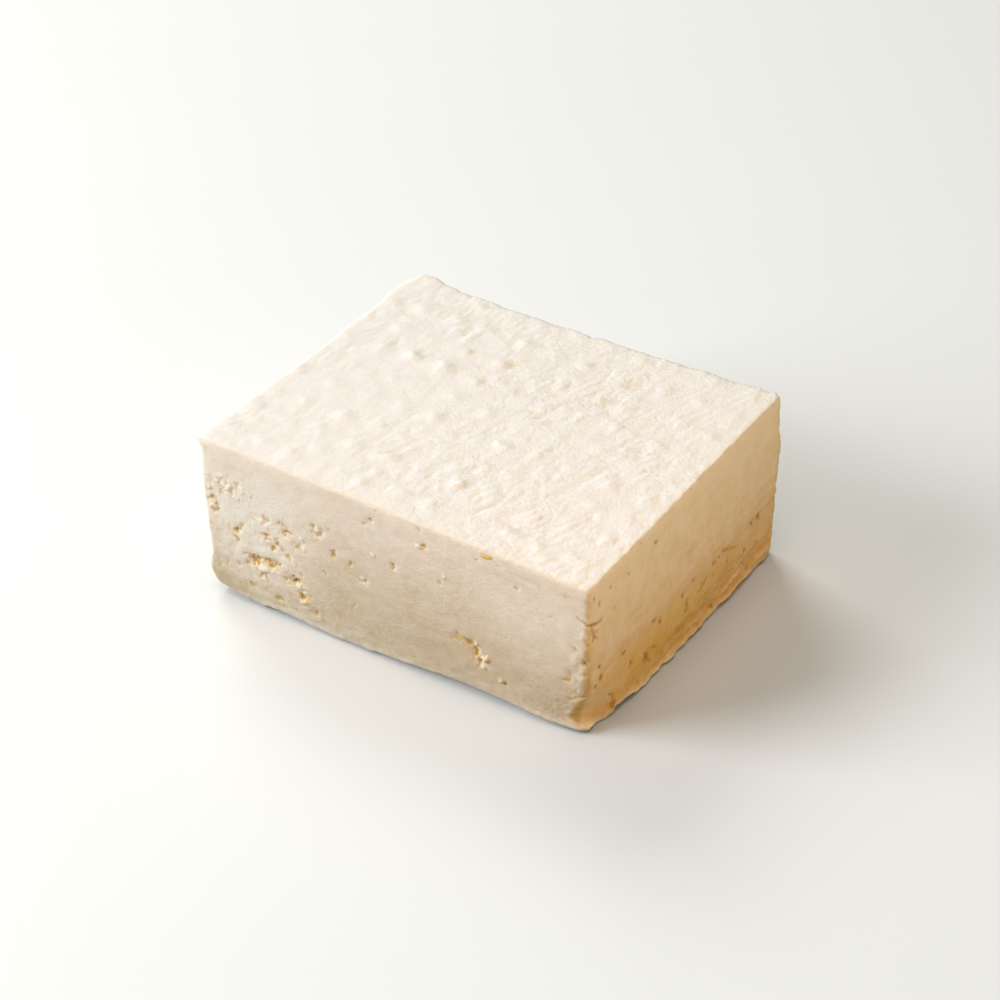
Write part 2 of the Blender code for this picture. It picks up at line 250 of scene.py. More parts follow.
# Place of the wear, from the middle of the base, how far it reaches, and how much it adds to the radius.
WEAR = (
    ((-50.0, -41.6, 0.0), 6.5, 2.0),
    ((50.0, -41.6, 0.0), 10.0, 0.6),
    ((50.0, 41.6, 0.0), 14.0, 0.6),
    ((-50.0, 41.6, 0.0), 14.0, 3.4),
    ((-50.0, 41.6, 42.8), 7.0, 1.4),
    ((20.0, -41.6, 0.0), (27.0, 8.0, 8.0), 1.5),
)


def height_share(points):
    """0 on the base and 1 on the top."""
    return (points[:, 2] + HALF[2]) / HEIGHT


def near(points, place, reach):
    """1 at a place, measured from the middle of the base, falling smoothly to 0 at its reach."""
    centre = np.array(place) - (0, 0, HALF[2])
    return smooth_step(1 - np.linalg.norm((points - centre) / reach, axis=1))


def edge_radius(points):
    """The radius of rounding at each point of the true box."""
    height = height_share(points)
    radius = BASE_EDGE + (TOP_EDGE - BASE_EDGE) * fade(height, 0, SOFT_SHARE)
    for place, reach, wear in WEAR:
        radius += wear * near(points, place, reach)
    left, front = (fade(HALF[axis] + points[:, axis], EDGE_FADE, 0) for axis in (0, 1))
    right = fade(HALF[0] - points[:, 0], EDGE_FADE, 0)
    radius += LEFT_EDGE * left * fade(height, 0.7, 0.9)
    return radius + FRONT_CORNER_EDGE * right * front * fade(height, 1.0, 0.9)


def wear_edges(points):
    radius = edge_radius(points)[:, None]
    core = np.clip(points, radius - HALF, HALF - radius)
    outward = points - core
    return core + outward * radius / np.linalg.norm(outward, axis=1, keepdims=True)


def lean_corners(points):
    """Moves the points in plan as the eight corners lean, in proportion to how near each corner is."""
    share = points / HALF
    height = (share[:, 2] + 1) / 2
    moved = points.copy()
    for (x_side, y_side), (top, base) in CORNER_LEAN.items():
        weight = (1 + x_side * share[:, 0]) * (1 + y_side * share[:, 1]) / 4
        for axis in (0, 1):
            moved[:, axis] += weight * (base[axis] + (top[axis] - base[axis]) * height)
    return moved


form = lean_corners(wear_edges(box_points))
print("cut form, mm:", np.ptp(form, axis=0).round(2))

# %% [markdown]
# ## Where things are on the block
# Marks on the sides are placed as a cook would point at them: so far across a face and so far up it. The
# four sides are unrolled into one strip, so that a crack can run round a corner from one face to the next.
# Across runs to the right as one faces a side, from its middle, and up runs from the base. On the top,
# across is X and up is Y.

# %% Give every point its face and its place on the unrolled sides
QUARTER = HALF[0] + HALF[1]
FACE_STARTS = {"front": 0.0, "right": QUARTER, "back": 2 * QUARTER, "left": -QUARTER}
OUTWARD = {"front": (1, -1), "right": (0, 1), "back": (1, 1), "left": (0, -1)}


def on_face(name):
    axis, side = OUTWARD[name]
    return np.isclose(box_points[:, axis], side * HALF[axis])


def unroll_sides():
    """Each side point's place along the unrolled strip; the inner top and base points get none."""
    strip = np.full(len(form), np.nan)
    x, y = form[:, 0], form[:, 1]
    for name, across in (("back", -x), ("left", -y), ("right", y), ("front", x)):
        face = on_face(name)
        strip[face] = across[face] + FACE_STARTS[name]
    return strip


strip_place = unroll_sides()
up_place = form[:, 2] + HALF[2]
side_points = np.flatnonzero(~np.isnan(strip_place))
top_points = np.flatnonzero(np.isclose(box_points[:, 2], HALF[2]))
SIDE_MAP = np.column_stack([strip_place, up_place])
TOP_MAP = form[:, :2]


def spot_points(face, across, up, reach):
    """The points within reach of a place on a face, and where each lies from it, in mm."""
    if face == "top":
        chosen, places, centre = top_points, TOP_MAP, (across, up)
    else:
        chosen, places, centre = side_points, SIDE_MAP, (across + FACE_STARTS[face], up)
    offset = places[chosen] - centre
    inside = np.max(np.abs(offset), axis=1) < reach
    return chosen[inside], offset[inside]


print("side points:", len(side_points), "top points:", len(top_points))

# %% [markdown]
# ## Sag and cut waves
# The block sags by half a millimetre over its base. The knife wanders as it cuts, and it drags fine level
# streaks over the face. The grain of the curd shows on the cut, more in some places than in others: towards
# the base, on the right face, and in the left third of the front face, where the curd is loose.

# %% Push the sides in and out
FACE_REACH = 2.5
BELLY = 0.5
BELLY_HEIGHT = 0.3
# Size of the hills in mm, height in mm, and the seed of the noise. The other rows of threes are the same, but
# those of the tongues and the clouds have a share in place of the height.
KNIFE_WAVES = ((34.0, 0.22, 5), (11.0, 0.12, 6), (4.5, 0.06, 7))
CURD_GRAIN = ((2.3, 0.075, 8), (1.1, 0.060, 9))
DRAG = ((0.8, 0.045, 11), (0.4, 0.027, 12))
DRAG_STRETCH = (14, 14, 1)
# Place and reach of the part of the front face where the curd is loose.
LOOSE_CURD = ((-36.0, -41.6, 19.0), (24.0, 12.0, 22.0))
# How open the grain is everywhere, and how much it opens in patches and in the three places.
OPEN_EVERYWHERE = 0.65
OPEN_PATCHES = 0.7
OPEN_LOW = 1.1
OPEN_RIGHT = 1.3
OPEN_LOOSE = 1.2
OPEN_RANGE = (0.4, 3.6)
LOW_RISE = (15, 3)


def face_weight(name):
    """1 on a face, falling to 0 a short way round its edges."""
    axis, side = OUTWARD[name]
    return fade(HALF[axis] - side * box_points[:, axis], FACE_REACH, 0)


def belly_bulge(along):
    """The sag of a side, fullest at BELLY_HEIGHT of the height and in the middle of the side."""
    height = np.clip(height_share(box_points), 0, 1)
    rise = np.sin(np.pi * height ** (math.log(0.5) / math.log(BELLY_HEIGHT)))
    return BELLY * rise * (1 - (box_points[:, along] / HALF[along]) ** 2)


def knife_surface():
    """How far the cut wanders, with the grain of the curd and the fine streaks that the blade drags."""
    streaked = smooth_step(0.5 + hills(form, 20.0, 13))
    drag = layers(hills, form, DRAG, DRAG_STRETCH) * streaked
    open_curd = OPEN_EVERYWHERE + OPEN_PATCHES * hills(form, 13.0, 14) + OPEN_LOW * fade(up_place, *LOW_RISE)
    open_curd += OPEN_RIGHT * face_weight("right") + OPEN_LOOSE * near(box_points, *LOOSE_CURD)
    grain = layers(hills, form, CURD_GRAIN) * open_curd.clip(*OPEN_RANGE)
    return layers(hills, form, KNIFE_WAVES) + drag + grain


skin = form.copy()
knife = knife_surface()
for name, (axis, side) in OUTWARD.items():
    skin[:, axis] += side * face_weight(name) * (knife + belly_bulge(1 - axis))
print("cut waves, mm:", round(float(np.ptp(knife)), 2))

# %% [markdown]
# Low on the right face the curd settled into long level folds, and the skin of its base hangs out as a
# thin, ragged skirt. Noise with sharp creases, stretched out level, makes the folds. The skirt's tongues
# change only along the face, so they hang straight.

# %% Fold the foot of the right face
FOLDS = ((2.6, 0.56, 15), (1.3, 0.60, 16), (0.75, 0.42, 17))
FOLD_STRETCH = (1, 11, 1)
SKIRT = 0.8
TONGUES = ((5.5, 0.5, 21), (1.9, 0.45, 22))
TONGUE_MIDDLE = 0.75
TONGUE_RANGE = (0.1, 1.4)
# Where the folds and the skirt are nothing and where they are whole: heights up the face, and places along Y,
# from the middle or, where the name says so, from the front or the back edge.
FOLD_RISE = (12, 5)
FOLD_START = (-22, 12)
FOLD_END_FROM_BACK = (0, 6)
SKIRT_RISE = (1.7, 1.0)
SKIRT_START_FROM_FRONT = (12, 21)
SKIRT_END = (27, 18)


def base_folds():
    """Long, level creases low on the right face, deepest towards its back end."""
    along = box_points[:, 1]
    ends = fade(along, *FOLD_START) * fade(HALF[1] - along, *FOLD_END_FROM_BACK)
    return layers(billows, form, FOLDS, FOLD_STRETCH) * fade(up_place, *FOLD_RISE) * ends


def skirt_bulge():
    """The ragged skirt at the foot of the right face, in torn tongues a few millimetres long."""
    along = box_points[:, 1]
    tongues = TONGUE_MIDDLE + layers(hills, form * (0, 1, 0), TONGUES)
    ends = fade(HALF[1] + along, *SKIRT_START_FROM_FRONT) * fade(along, *SKIRT_END)
    return SKIRT * tongues.clip(*TONGUE_RANGE) * fade(up_place, *SKIRT_RISE) * ends


right_folds = base_folds()
skin[:, 0] += face_weight("right") * (skirt_bulge() + right_folds)
print("folds, mm:", round(float(np.ptp(right_folds)), 2))

# %% [markdown]
# Some corners and edges swell or fall in by a millimetre or two. Below the front right corner a chip is
# gone, and the curd spreads there into a small foot. The edges are not straight either, so a short table
# for each says how it runs.

# %% Swell the corners and bend the edges
# Place, reach and push: the worn base corner at the front left, the chip and the foot at the front right, the
# foot of the right face, the lip at the front left corner and the curd left at the back left corner.
SWELLINGS = (
    ((-50.0, -41.6, 5.5), (6.5, 6.0, 8.0), (-1.5, 0.2, 0.0)),
    ((50.0, -41.6, 3.5), (14.0, 12.0, 12.0), (-3.2, 0.5, 0.0)),
    ((50.0, -41.6, 0.6), (9.0, 7.5, 4.2), (2.5, 0.1, 0.6)),
    ((50.0, 32.0, 1.0), (7.0, 13.0, 4.5), (0.75, 0.0, 0.0)),
    ((-51.0, -42.0, 42.8), (3.4, 15.0, 2.1), (-1.0, -0.1, 0.0)),
    ((-46.0, 41.6, 42.6), (7.0, 4.5, 4.0), (0.0, 1.3, 0.7)),
)
# An edge lies where two faces meet, each given as its axis and side. Along the edge, the line says where, in
# mm, and how far the curd stands off the true line there.
Edge = namedtuple("Edge", "first second reach push line")
LEFT_TOP = Edge((0, -1), (2, 1), 2.6, (-1, 0, 0), (
    (-42, 0.4), (-20, 0.45), (-10, 0.2), (-5, 0.0), (4, 0.0), (13, 0.35), (22, 0.5), (28, 0.5), (31, 1.2),
    (36, 1.35), (39, 1.2), (41.6, 0.5)))
BACK_TOP = Edge((1, 1), (2, 1), 6.0, (0, 1, 0), (
    (-38, 0.0), (-33, -0.3), (-22, -0.9), (-17, -0.7), (-15, -0.2), (-12, -0.6), (-8, -0.85), (-6, -0.3),
    (-3, -0.6), (1, -0.9), (5, -0.4), (10, -0.5), (18, -0.5), (23, 0.0), (32, 0.35), (38, 0.4), (41, 0.7),
    (50, 0.6)))
BACK_RIGHT = Edge((0, 1), (1, 1), 9.0, (0, 1, 0), (
    (0.0, 1.1), (8.0, 1.2), (11.4, 0.8), (14.7, 0.95), (16.2, 0.7), (16.8, 1.35), (19.7, 1.4), (23.0, 1.6),
    (26.4, 1.9), (29.7, 1.85), (31.4, 1.5), (32.4, 1.35), (33.0, 0.9), (34.7, 0.85), (38.0, 0.4),
    (41.0, 0.1)))
FRONT_BASE = Edge((1, -1), (2, -1), 7.0, (0, 0, 1), (
    (-50, 1.3), (-46, 1.4), (-43.9, 1.25), (-41.7, 0.75), (-39.5, 0.65), (-37, 0.25), (-35.8, 0.3),
    (-34.8, 0.85), (-28, 0.75), (-24, 0.3), (-20, 0.0), (-9, 0.0), (-5, 0.3), (3, 0.55), (12, 0.75),
    (28, 0.7), (38, 0.4), (44, 0.0)))
RIGHT_BASE = Edge((0, 1), (2, -1), 7.0, (0, 0, 1), (
    (-38, 0.0), (-29.6, 0.0), (-28.9, 1.25), (-22, 1.1), (-21.2, 0.2), (-18, 0.0), (21, 0.0)))


def edge_line(edge):
    """How far each point stands off for its edge, as a push in mm."""
    (first, first_side), (second, second_side) = edge.first, edge.second
    first_gap = HALF[first] - first_side * box_points[:, first]
    second_gap = HALF[second] - second_side * box_points[:, second]
    along = (form[:, 0], form[:, 1], up_place)[3 - first - second]
    amount = fade(np.hypot(first_gap, second_gap), edge.reach, 0) * np.interp(along, *zip(*edge.line))
    return amount[:, None] * edge.push


for place, reach, push in SWELLINGS:
    skin += near(box_points, place, reach)[:, None] * push
for edge in (LEFT_TOP, BACK_TOP, BACK_RIGHT, FRONT_BASE, RIGHT_BASE):
    skin += edge_line(edge)
print("pushed sides, mm:", np.ptp(skin, axis=0).round(2))

# %% [markdown]
# ## The pressed top
# The lid of the press has a drain hole every nine millimetres or so. Through the cloth, the curd swells a
# little into each hole, which leaves a rough grid of soft bumps. Between them the cloth lay in small
# wrinkles, which run mostly from front to back. Each wrinkle is a fold of cloth, so it is long and narrow.

# %% Raise the drain bumps and the cloth wrinkles
HOLE_SPACING = 9.25
HOLE_ORIGIN = (-2.0, -7.5)
HOLE_WIDTH = 4.4
HOLE_SHIFT = 0.9
BUMP_HEIGHT = 0.30
BUMP_FALL = 1.4
WRINKLE_TURN = math.radians(20)
# Size in mm, how many times longer than wide, height in mm, and seed.
WRINKLES = ((5.0, 1.3, 0.115, 31), (2.2, 2.2, 0.105, 32), (1.2, 1.8, 0.055, 33))


def bump_heights(plan):
    """Soft bumps on the grid of drain holes, each with its own place, width and height."""
    height = np.zeros(len(plan))
    cells = np.rint((plan - HOLE_ORIGIN) / HOLE_SPACING).astype(int)
    for step in itertools.product((-1, 0, 1), repeat=2):
        cell = cells + step
        key = np.column_stack([cell, np.zeros(len(cell), int)])
        turn, change, width = (shuffled_index(key, seed) / TABLE_SIZE for seed in (41, 42, 43))
        turn = 2 * math.pi * turn
        shift = HOLE_SHIFT * np.column_stack([np.cos(turn), np.sin(turn)])
        centre = cell * HOLE_SPACING + HOLE_ORIGIN + shift
        reach = HOLE_WIDTH / 2 * (0.8 + 0.5 * width)
        distance = np.linalg.norm(plan - centre, axis=1) / reach
        height += BUMP_HEIGHT * (0.9 * change + 0.25) * np.exp(-(distance**2) * BUMP_FALL)
    return height


def wrinkle_heights(points):
    """The folds of the cloth, which are stronger towards the right and the back."""
    cosine, sine = math.cos(WRINKLE_TURN), math.sin(WRINKLE_TURN)
    turned = points.copy()
    turned[:, :2] = points[:, :2] @ np.array([[cosine, sine], [-sine, cosine]])
    busy = 0.72 + 0.28 * fade(points[:, 0] + 0.5 * points[:, 1], -30, 20)
    busy *= 0.9 + 0.5 * hills(points, 22.0, 35)
    height = sum(high * billows(turned, size, seed, (1, long, 1)) for size, long, high, seed in WRINKLES)
    return height * busy


top_weight = fade(HALF[2] - box_points[:, 2], FACE_REACH, 0)
bumps, wrinkles = bump_heights(form[:, :2]), wrinkle_heights(form)
print("bumps, mm:", round(float(np.ptp(bumps)), 2), "wrinkles, mm:", round(float(np.ptp(wrinkles)), 2))

# %% [markdown]
# Over the bumps and wrinkles lie single marks: lumps that swell, dents where a fold of cloth pressed in,
# and banks, which are small steps. Each is a turned ellipse with a soft edge, and noise pushes its outline
# about.

# %% Add the single lumps, dents and banks
# Across, up, wide, tall, height and turn of each mark on the top, from the back to the front.
TOP_LUMPS = (
    (-43.5, 35.2, 1.2, 2.0, -0.40, 10), (-37.0, 31.1, 3.4, 3.8, -0.36, 0), (-25.1, 27.6, 2.2, 4.8, -0.50, 0),
    (-23.0, 25.0, 1.6, 12.0, 0.26, 2), (-19.1, 30.7, 2.2, 2.6, -0.40, 0), (-16.3, 29.5, 2.2, 2.6, -0.38, 0),
    (-9.9, 31.6, 2.6, 2.6, -0.46, 20), (-4.4, 26.1, 2.4, 2.4, -0.36, 0), (7.6, 30.7, 2.8, 3.0, -0.42, 0),
    (18.1, 28.6, 3.4, 6.0, -0.80, 35), (24.8, 28.5, 2.2, 2.0, -0.46, 0), (-8.2, 20.7, 2.6, 5.2, -0.66, -12),
    (-1.8, 21.1, 2.6, 2.2, -0.45, 0), (-19.1, 20.2, 2.6, 4.2, -0.52, -8), (-5.3, 14.2, 2.2, 2.2, -0.30, 0),
    (-14.6, 15.9, 1.0, 1.0, -0.55, 0), (-10.1, 11.1, 1.7, 3.4, -0.52, -14), (-1.5, 10.7, 2.0, 6.2, -0.36, 0),
    (-29.3, 11.1, 5.0, 4.4, 0.52, 0), (-21.0, 12.0, 4.2, 5.4, 0.48, 0), (-36.5, 14.2, 2.2, 2.2, -0.32, 0),
    (-46.5, 21.1, 2.0, 2.4, -0.30, 0), (-21.8, 5.2, 2.2, 2.2, -0.32, 0), (17.9, 19.2, 4.2, 4.2, -0.58, 0),
    (5.0, 20.7, 2.2, 3.0, 0.32, 0), (7.2, 20.2, 2.0, 3.2, -0.38, 0), (23.5, 20.4, 2.0, 5.0, 0.40, -12),
    (26.1, 19.2, 1.6, 3.4, -0.40, 0), (34.8, 18.8, 2.2, 4.2, -0.45, -10), (41.0, 20.2, 4.0, 4.0, 0.22, 0),
    (6.4, 6.9, 4.2, 1.7, -0.50, 10), (11.4, 5.4, 2.2, 3.2, -0.42, 0), (17.4, 9.2, 2.2, 3.4, -0.46, 20),
    (26.0, 7.8, 2.6, 2.2, -0.40, 0), (43.3, 8.8, 1.8, 3.2, -0.34, 0), (33.3, 3.5, 5.0, 2.2, -0.34, 0),
    (17.6, -4.0, 2.2, 11.0, -0.44, 0), (26.6, -0.6, 2.4, 2.6, -0.40, 0), (6.8, -8.3, 3.6, 4.0, 0.40, 0),
    (-2.4, -7.4, 2.4, 3.0, -0.42, 0), (-3.4, -9.8, 2.0, 2.0, -0.38, 0), (34.8, -13.8, 2.6, 6.4, -0.42, 0),
    (25.7, -18.1, 2.4, 2.8, -0.44, 0), (37.5, -20.3, 1.9, 4.0, -0.72, 6), (43.0, -17.0, 2.0, 2.4, -0.40, 0),
    (8.3, -23.8, 1.1, 1.2, -0.60, 0), (7.6, -27.0, 2.4, 2.6, -0.42, 0), (25.4, -31.8, 5.0, 1.6, -0.75, -12),
    (25.4, -28.8, 6.0, 3.4, 0.24, 0), (26.0, -34.4, 5.4, 2.2, 0.30, 0), (7.1, -35.4, 2.6, 3.0, -0.48, 0),
    (16.2, -37.0, 2.0, 2.2, -0.44, 0), (33.0, -34.8, 4.4, 4.0, 0.40, 0), (42.0, -35.0, 2.8, 3.0, 0.30, 0),
    (-46.0, -16.4, 1.0, 2.2, -0.40, 24), (-38.7, -41.0, 1.2, 3.2, -0.28, 24),
)
TOP_BANKS = (
    (18.2, -29.2, 1.9, 7.4, 0.62, -25), (31.2, -7.4, 2.4, 12.0, 0.42, -16), (8.8, 5.2, 2.0, 3.8, 0.50, -34),
    (21.7, 28.0, 2.4, 4.4, 0.44, -8), (-11.9, -24.4, 2.2, 4.6, 0.40, -34), (-3.8, 0.0, 2.4, 3.6, 0.22, -20),
    (10.4, -24.6, 2.2, 5.0, 0.34, -20),
)
# The share of the heights in the tables that the press leaves, for lumps and banks and for dents.
MARK_SHARE = 0.55
DENT_SHARE = 0.27
WANDER_SIZE = 0.95
# Painted warm shade gathers in the dips of the top, less towards the right.
DIP_DEPTH = 0.44
DIP_SHADE_FADE = (0, 40)
DIP_SHADE_LOSS = 0.7


def turned_place(offset, wide, tall, turn):
    """Places measured along a turned ellipse's own two axes, 1 on its outline."""
    turn = math.radians(turn)
    across = offset[:, 0] * math.cos(turn) + offset[:, 1] * math.sin(turn)
    up = offset[:, 1] * math.cos(turn) - offset[:, 0] * math.sin(turn)
    return across / (wide / 2), up / (tall / 2)


def turned_radius(offset, wide, tall, turn):
    """Distance from the middle of a turned ellipse: 1 on its outline."""
    return np.hypot(*turned_place(offset, wide, tall, turn))


def wander(points, amount):
    """A small random push in the plane of a face, as two arrays."""
    coarse = [hills(points, WANDER_SIZE, seed) for seed in (51, 52)]
    fine = [hills(points, WANDER_SIZE / 2.2, seed) for seed in (56, 57)]
    return amount * (np.column_stack(coarse) + 0.45 * np.column_stack(fine))


def lumps_and_dents():
    """The distinct marks on the top: swells and dents, then banks, which step up from left to right."""
    height = np.zeros(len(form))
    for across, up, wide, tall, high, turn in TOP_LUMPS:
        chosen, offset = spot_points("top", across, up, max(wide, tall) * 1.4)
        offset = offset + wander(form[chosen], 0.5)
        share = MARK_SHARE if high > 0 else DENT_SHARE
        height[chosen] += share * high * np.exp(-1.1 * turned_radius(offset, wide, tall, turn) ** 2)
    for across, up, wide, tall, high, turn in TOP_BANKS:
        chosen, offset = spot_points("top", across, up, max(wide, tall) * 1.6)
        right, along = turned_place(offset + wander(form[chosen], 0.5), wide, tall, turn)
        height[chosen] += MARK_SHARE * high * right * np.exp(-(right**2 + 1.2 * along**2) / 1.2)
    return height


marks = lumps_and_dents()
top_height = bumps + wrinkles + marks * (1 + 0.8 * hills(form, 1.6, 36))
dip_shade = top_weight * fade(wrinkles + 1.6 * marks, 0, -DIP_DEPTH) * (1 - DIP_SHADE_LOSS * fade(form[:, 0], *DIP_SHADE_FADE))
skin[:, 2] += top_weight * top_height
print("top relief, mm:", round(float(np.ptp(top_height[top_points])), 2))

# %% [markdown]
# ## Hollows, tears and crumbs
# Curd is made of soft grains that the press joins, with small hollows where whey was trapped. The knife
# opens those hollows, and drags out crumbs at their edges. A smooth round pit would look drilled, so each
# outline is pushed about by noise, the floor is uneven, and a broken lip of crumbs stands round the rim.
# The hollows that give the faces their look are placed one by one, and smaller ones are strewn among them.

# %% Open the hollows
Hollow = namedtuple("Hollow", "face across up wide tall deep turn")


def marks_on_faces(kind, table):
    """Marks of one kind, from a table of rows of numbers under the name of their face."""
    return [kind(face, *row) for face, rows in table.items() for row in rows]


def round_mark(mark, reach, amount):
    """The points near a mark, their places and their share of its radius, with its outline pushed about."""
    chosen, offset = spot_points(mark.face, mark.across, mark.up, reach)
    places = form[chosen]
    return chosen, places, turned_radius(offset + wander(places, amount), mark.wide, mark.tall, mark.turn)


# Across, up, wide, tall, depth and turn. The unseen faces are cut through the same curd.
HOLLOWS = marks_on_faces(Hollow, {
    "front": (
        # The open, crumbly part in the left third of the front face.
        (-41.1, 33.7, 1.4, 1.0, 0.5, 30), (-48.2, 27.8, 1.3, 1.4, 0.5, 20), (-47.4, 25.9, 1.4, 1.0, 0.6, 40),
        (-48.2, 24.0, 1.2, 1.3, 0.5, 0), (-42.0, 20.9, 2.9, 1.5, 1.1, 48), (-33.3, 22.5, 2.0, 1.9, 1.2, 20),
        (-32.0, 19.8, 1.4, 1.4, 1.1, -30), (-29.6, 27.8, 1.3, 0.9, 0.7, 10), (-28.6, 27.4, 0.9, 0.9, 0.7, 0),
        (-27.2, 25.9, 1.9, 0.9, 1.3, 6), (-28.2, 25.1, 1.0, 1.4, 0.9, 20), (-37.6, 13.9, 2.2, 2.9, 1.6, -25),
        (-36.2, 15.1, 2.6, 1.1, 1.1, 10), (-33.7, 15.4, 2.2, 1.0, 1.0, 4), (-30.5, 15.7, 1.2, 1.2, 1.1, 0),
        (-32.9, 14.1, 1.5, 1.1, 1.1, 20), (-34.9, 10.8, 1.6, 1.7, 0.9, 30), (-38.6, 6.6, 1.5, 0.9, 0.8, -20),
        (-26.1, 12.9, 2.4, 2.0, 2.2, 42), (-24.5, 8.9, 3.1, 1.5, 2.0, 4), (-20.8, 6.0, 2.6, 0.9, 0.8, 38),
        (-27.9, 18.9, 1.8, 1.1, 0.6, 20), (-24.3, 22.6, 1.4, 1.1, 0.5, 0), (-47.3, 8.6, 1.0, 1.9, 0.4, 0),
        # Single hollows over the rest of the front face.
        (-20.4, 30.6, 0.8, 0.9, 0.8, 0), (-19.2, 28.6, 1.6, 0.7, 0.8, 0), (-18.0, 30.2, 0.7, 1.2, 0.8, 0),
        (-15.8, 31.4, 0.7, 0.8, 0.6, 0), (-15.0, 25.0, 1.1, 2.3, 1.0, -8), (-10.4, 24.3, 0.7, 2.4, 0.7, -22),
        (-7.2, 20.6, 1.8, 0.6, 0.6, -8), (-4.5, 38.6, 1.1, 1.0, 0.8, 40), (-6.2, 37.0, 1.6, 0.6, 0.5, 30),
        (1.0, 28.2, 0.8, 2.1, 0.9, -8), (9.3, 37.1, 1.2, 1.3, 1.0, -10), (8.3, 41.4, 0.6, 0.9, 0.7, 0),
        (12.9, 28.9, 1.2, 0.8, 0.7, -30), (22.8, 39.2, 0.9, 0.9, 0.7, -30), (32.7, 35.8, 0.6, 0.8, 0.7, 0),
        (41.1, 31.7, 1.1, 0.7, 0.5, 30), (44.9, 38.8, 1.6, 0.7, 0.5, 10), (46.9, 25.6, 0.9, 1.1, 0.6, 0),
        (5.8, 5.0, 1.1, 0.7, 0.5, 0), (29.2, 7.5, 0.9, 1.2, 0.8, -20), (-9.9, 13.0, 0.6, 1.6, 0.6, -25),
        # The tear towards the right end of the front face, which runs down to the right.
        (17.6, 15.9, 4.4, 1.9, 0.5, 10), (20.3, 15.4, 1.7, 1.2, 1.2, -10), (22.0, 13.2, 1.5, 2.1, 1.2, 20),
        (22.6, 10.9, 1.0, 1.9, 1.1, -15), (23.8, 13.3, 1.2, 0.8, 0.9, 40),
    ),
    "right": (
        (-42.8, 22.6, 1.2, 1.4, 0.7, 0), (-14.3, 37.6, 1.7, 1.0, 0.8, -12), (-33.7, 38.3, 1.0, 0.7, 0.4, -20),
        (-38.0, 36.4, 0.8, 1.2, 0.4, 10), (-40.3, 39.2, 1.1, 0.9, 0.4, 0), (-26.2, 37.0, 1.2, 0.7, 0.4, -20),
        (-31.9, 31.4, 1.1, 0.5, 0.6, -35), (-0.9, 28.4, 0.9, 0.5, 0.5, -30), (16.3, 15.9, 1.9, 0.8, 1.1, -18),
        (18.2, 14.9, 1.5, 1.2, 1.1, -30), (20.3, 14.2, 2.0, 0.6, 0.9, -26), (14.4, 15.8, 1.1, 0.7, 0.5, 0),
        (7.9, 12.8, 2.8, 1.1, 0.9, 28), (5.3, 11.6, 1.6, 0.7, 0.6, 30), (-23.6, 10.6, 1.1, 2.2, 0.9, 6),
        (-17.3, 8.6, 1.5, 1.6, 1.3, 0), (-16.4, 7.0, 1.0, 2.2, 1.0, -38), (-14.3, 9.2, 0.9, 1.1, 0.7, 0),
        (-12.2, 7.0, 0.6, 1.1, 0.6, 0), (-31.2, 7.0, 1.7, 0.7, 0.9, -40), (-30.2, 5.6, 0.8, 2.2, 0.7, 0),
        (-39.6, 28.3, 0.8, 1.9, 0.9, -30), (-36.8, 18.9, 1.9, 0.8, 0.5, -35),
        (-38.2, 14.2, 1.4, 0.8, 0.4, -35), (-28.7, 17.9, 0.8, 0.6, 0.5, 0), (29.9, 15.2, 2.2, 1.0, 0.4, -20),
        (33.6, 15.0, 1.1, 2.0, 0.4, 0),
    ),
    "back": (
        (-31.0, 24.0, 2.2, 1.5, 1.4, 20), (-28.8, 22.6, 1.4, 1.2, 1.0, 0), (-26.5, 20.5, 2.9, 1.5, 1.3, -25),
        (-33.5, 15.0, 1.7, 2.4, 1.4, 10), (2.0, 29.0, 2.0, 1.1, 1.0, 0), (12.5, 11.0, 3.2, 1.2, 1.3, 15),
        (35.0, 19.0, 1.8, 2.2, 1.5, -30),
    ),
    "left": (
        (-22.0, 27.0, 2.2, 1.4, 1.2, 30), (-17.5, 12.0, 3.0, 1.3, 1.3, -10), (9.0, 18.0, 1.4, 2.4, 1.3, 5),
        (27.5, 9.5, 2.4, 1.4, 1.1, -20),
    ),
})
# How many on each face, and the middle, the spread and the highest place of the small hollows.
SMALL_HOLLOWS = (
    ("front", 22, (-34.0, 16.0), (7.5, 6.5), 34.0),
    ("right", 24, (4.0, 9.0), (22.0, 6.0), 24.0),
)
OUTLINE_WANDER = 0.58
# Shares of the radius where a hollow's wall starts and ends, and where its stain and painted shade do.
WALL = (1.25, 0.70)
STAIN_AND_SHADE_RIM = (1.15, 0.75)
LEAST_STAIN_AND_SHADE = 0.28
STAIN_AND_SHADE_BY_DEPTH = 0.44
HALO_STAIN_AND_SHADE = 0.14
HALO_REACH = 2.2
# The share of the tables' depths that is cut, and how much deeper the right face's marks are and how much
# darker their painted shade is.
DEPTH_SHARE = 0.30
RIGHT_DEPTH = 2.1
DISH_SHARE = 0.14
DISH_REACH = 1.9
LIP_HEIGHT = 0.10
LIP_RADIUS = 1.3
LIP_WIDTH = 0.22


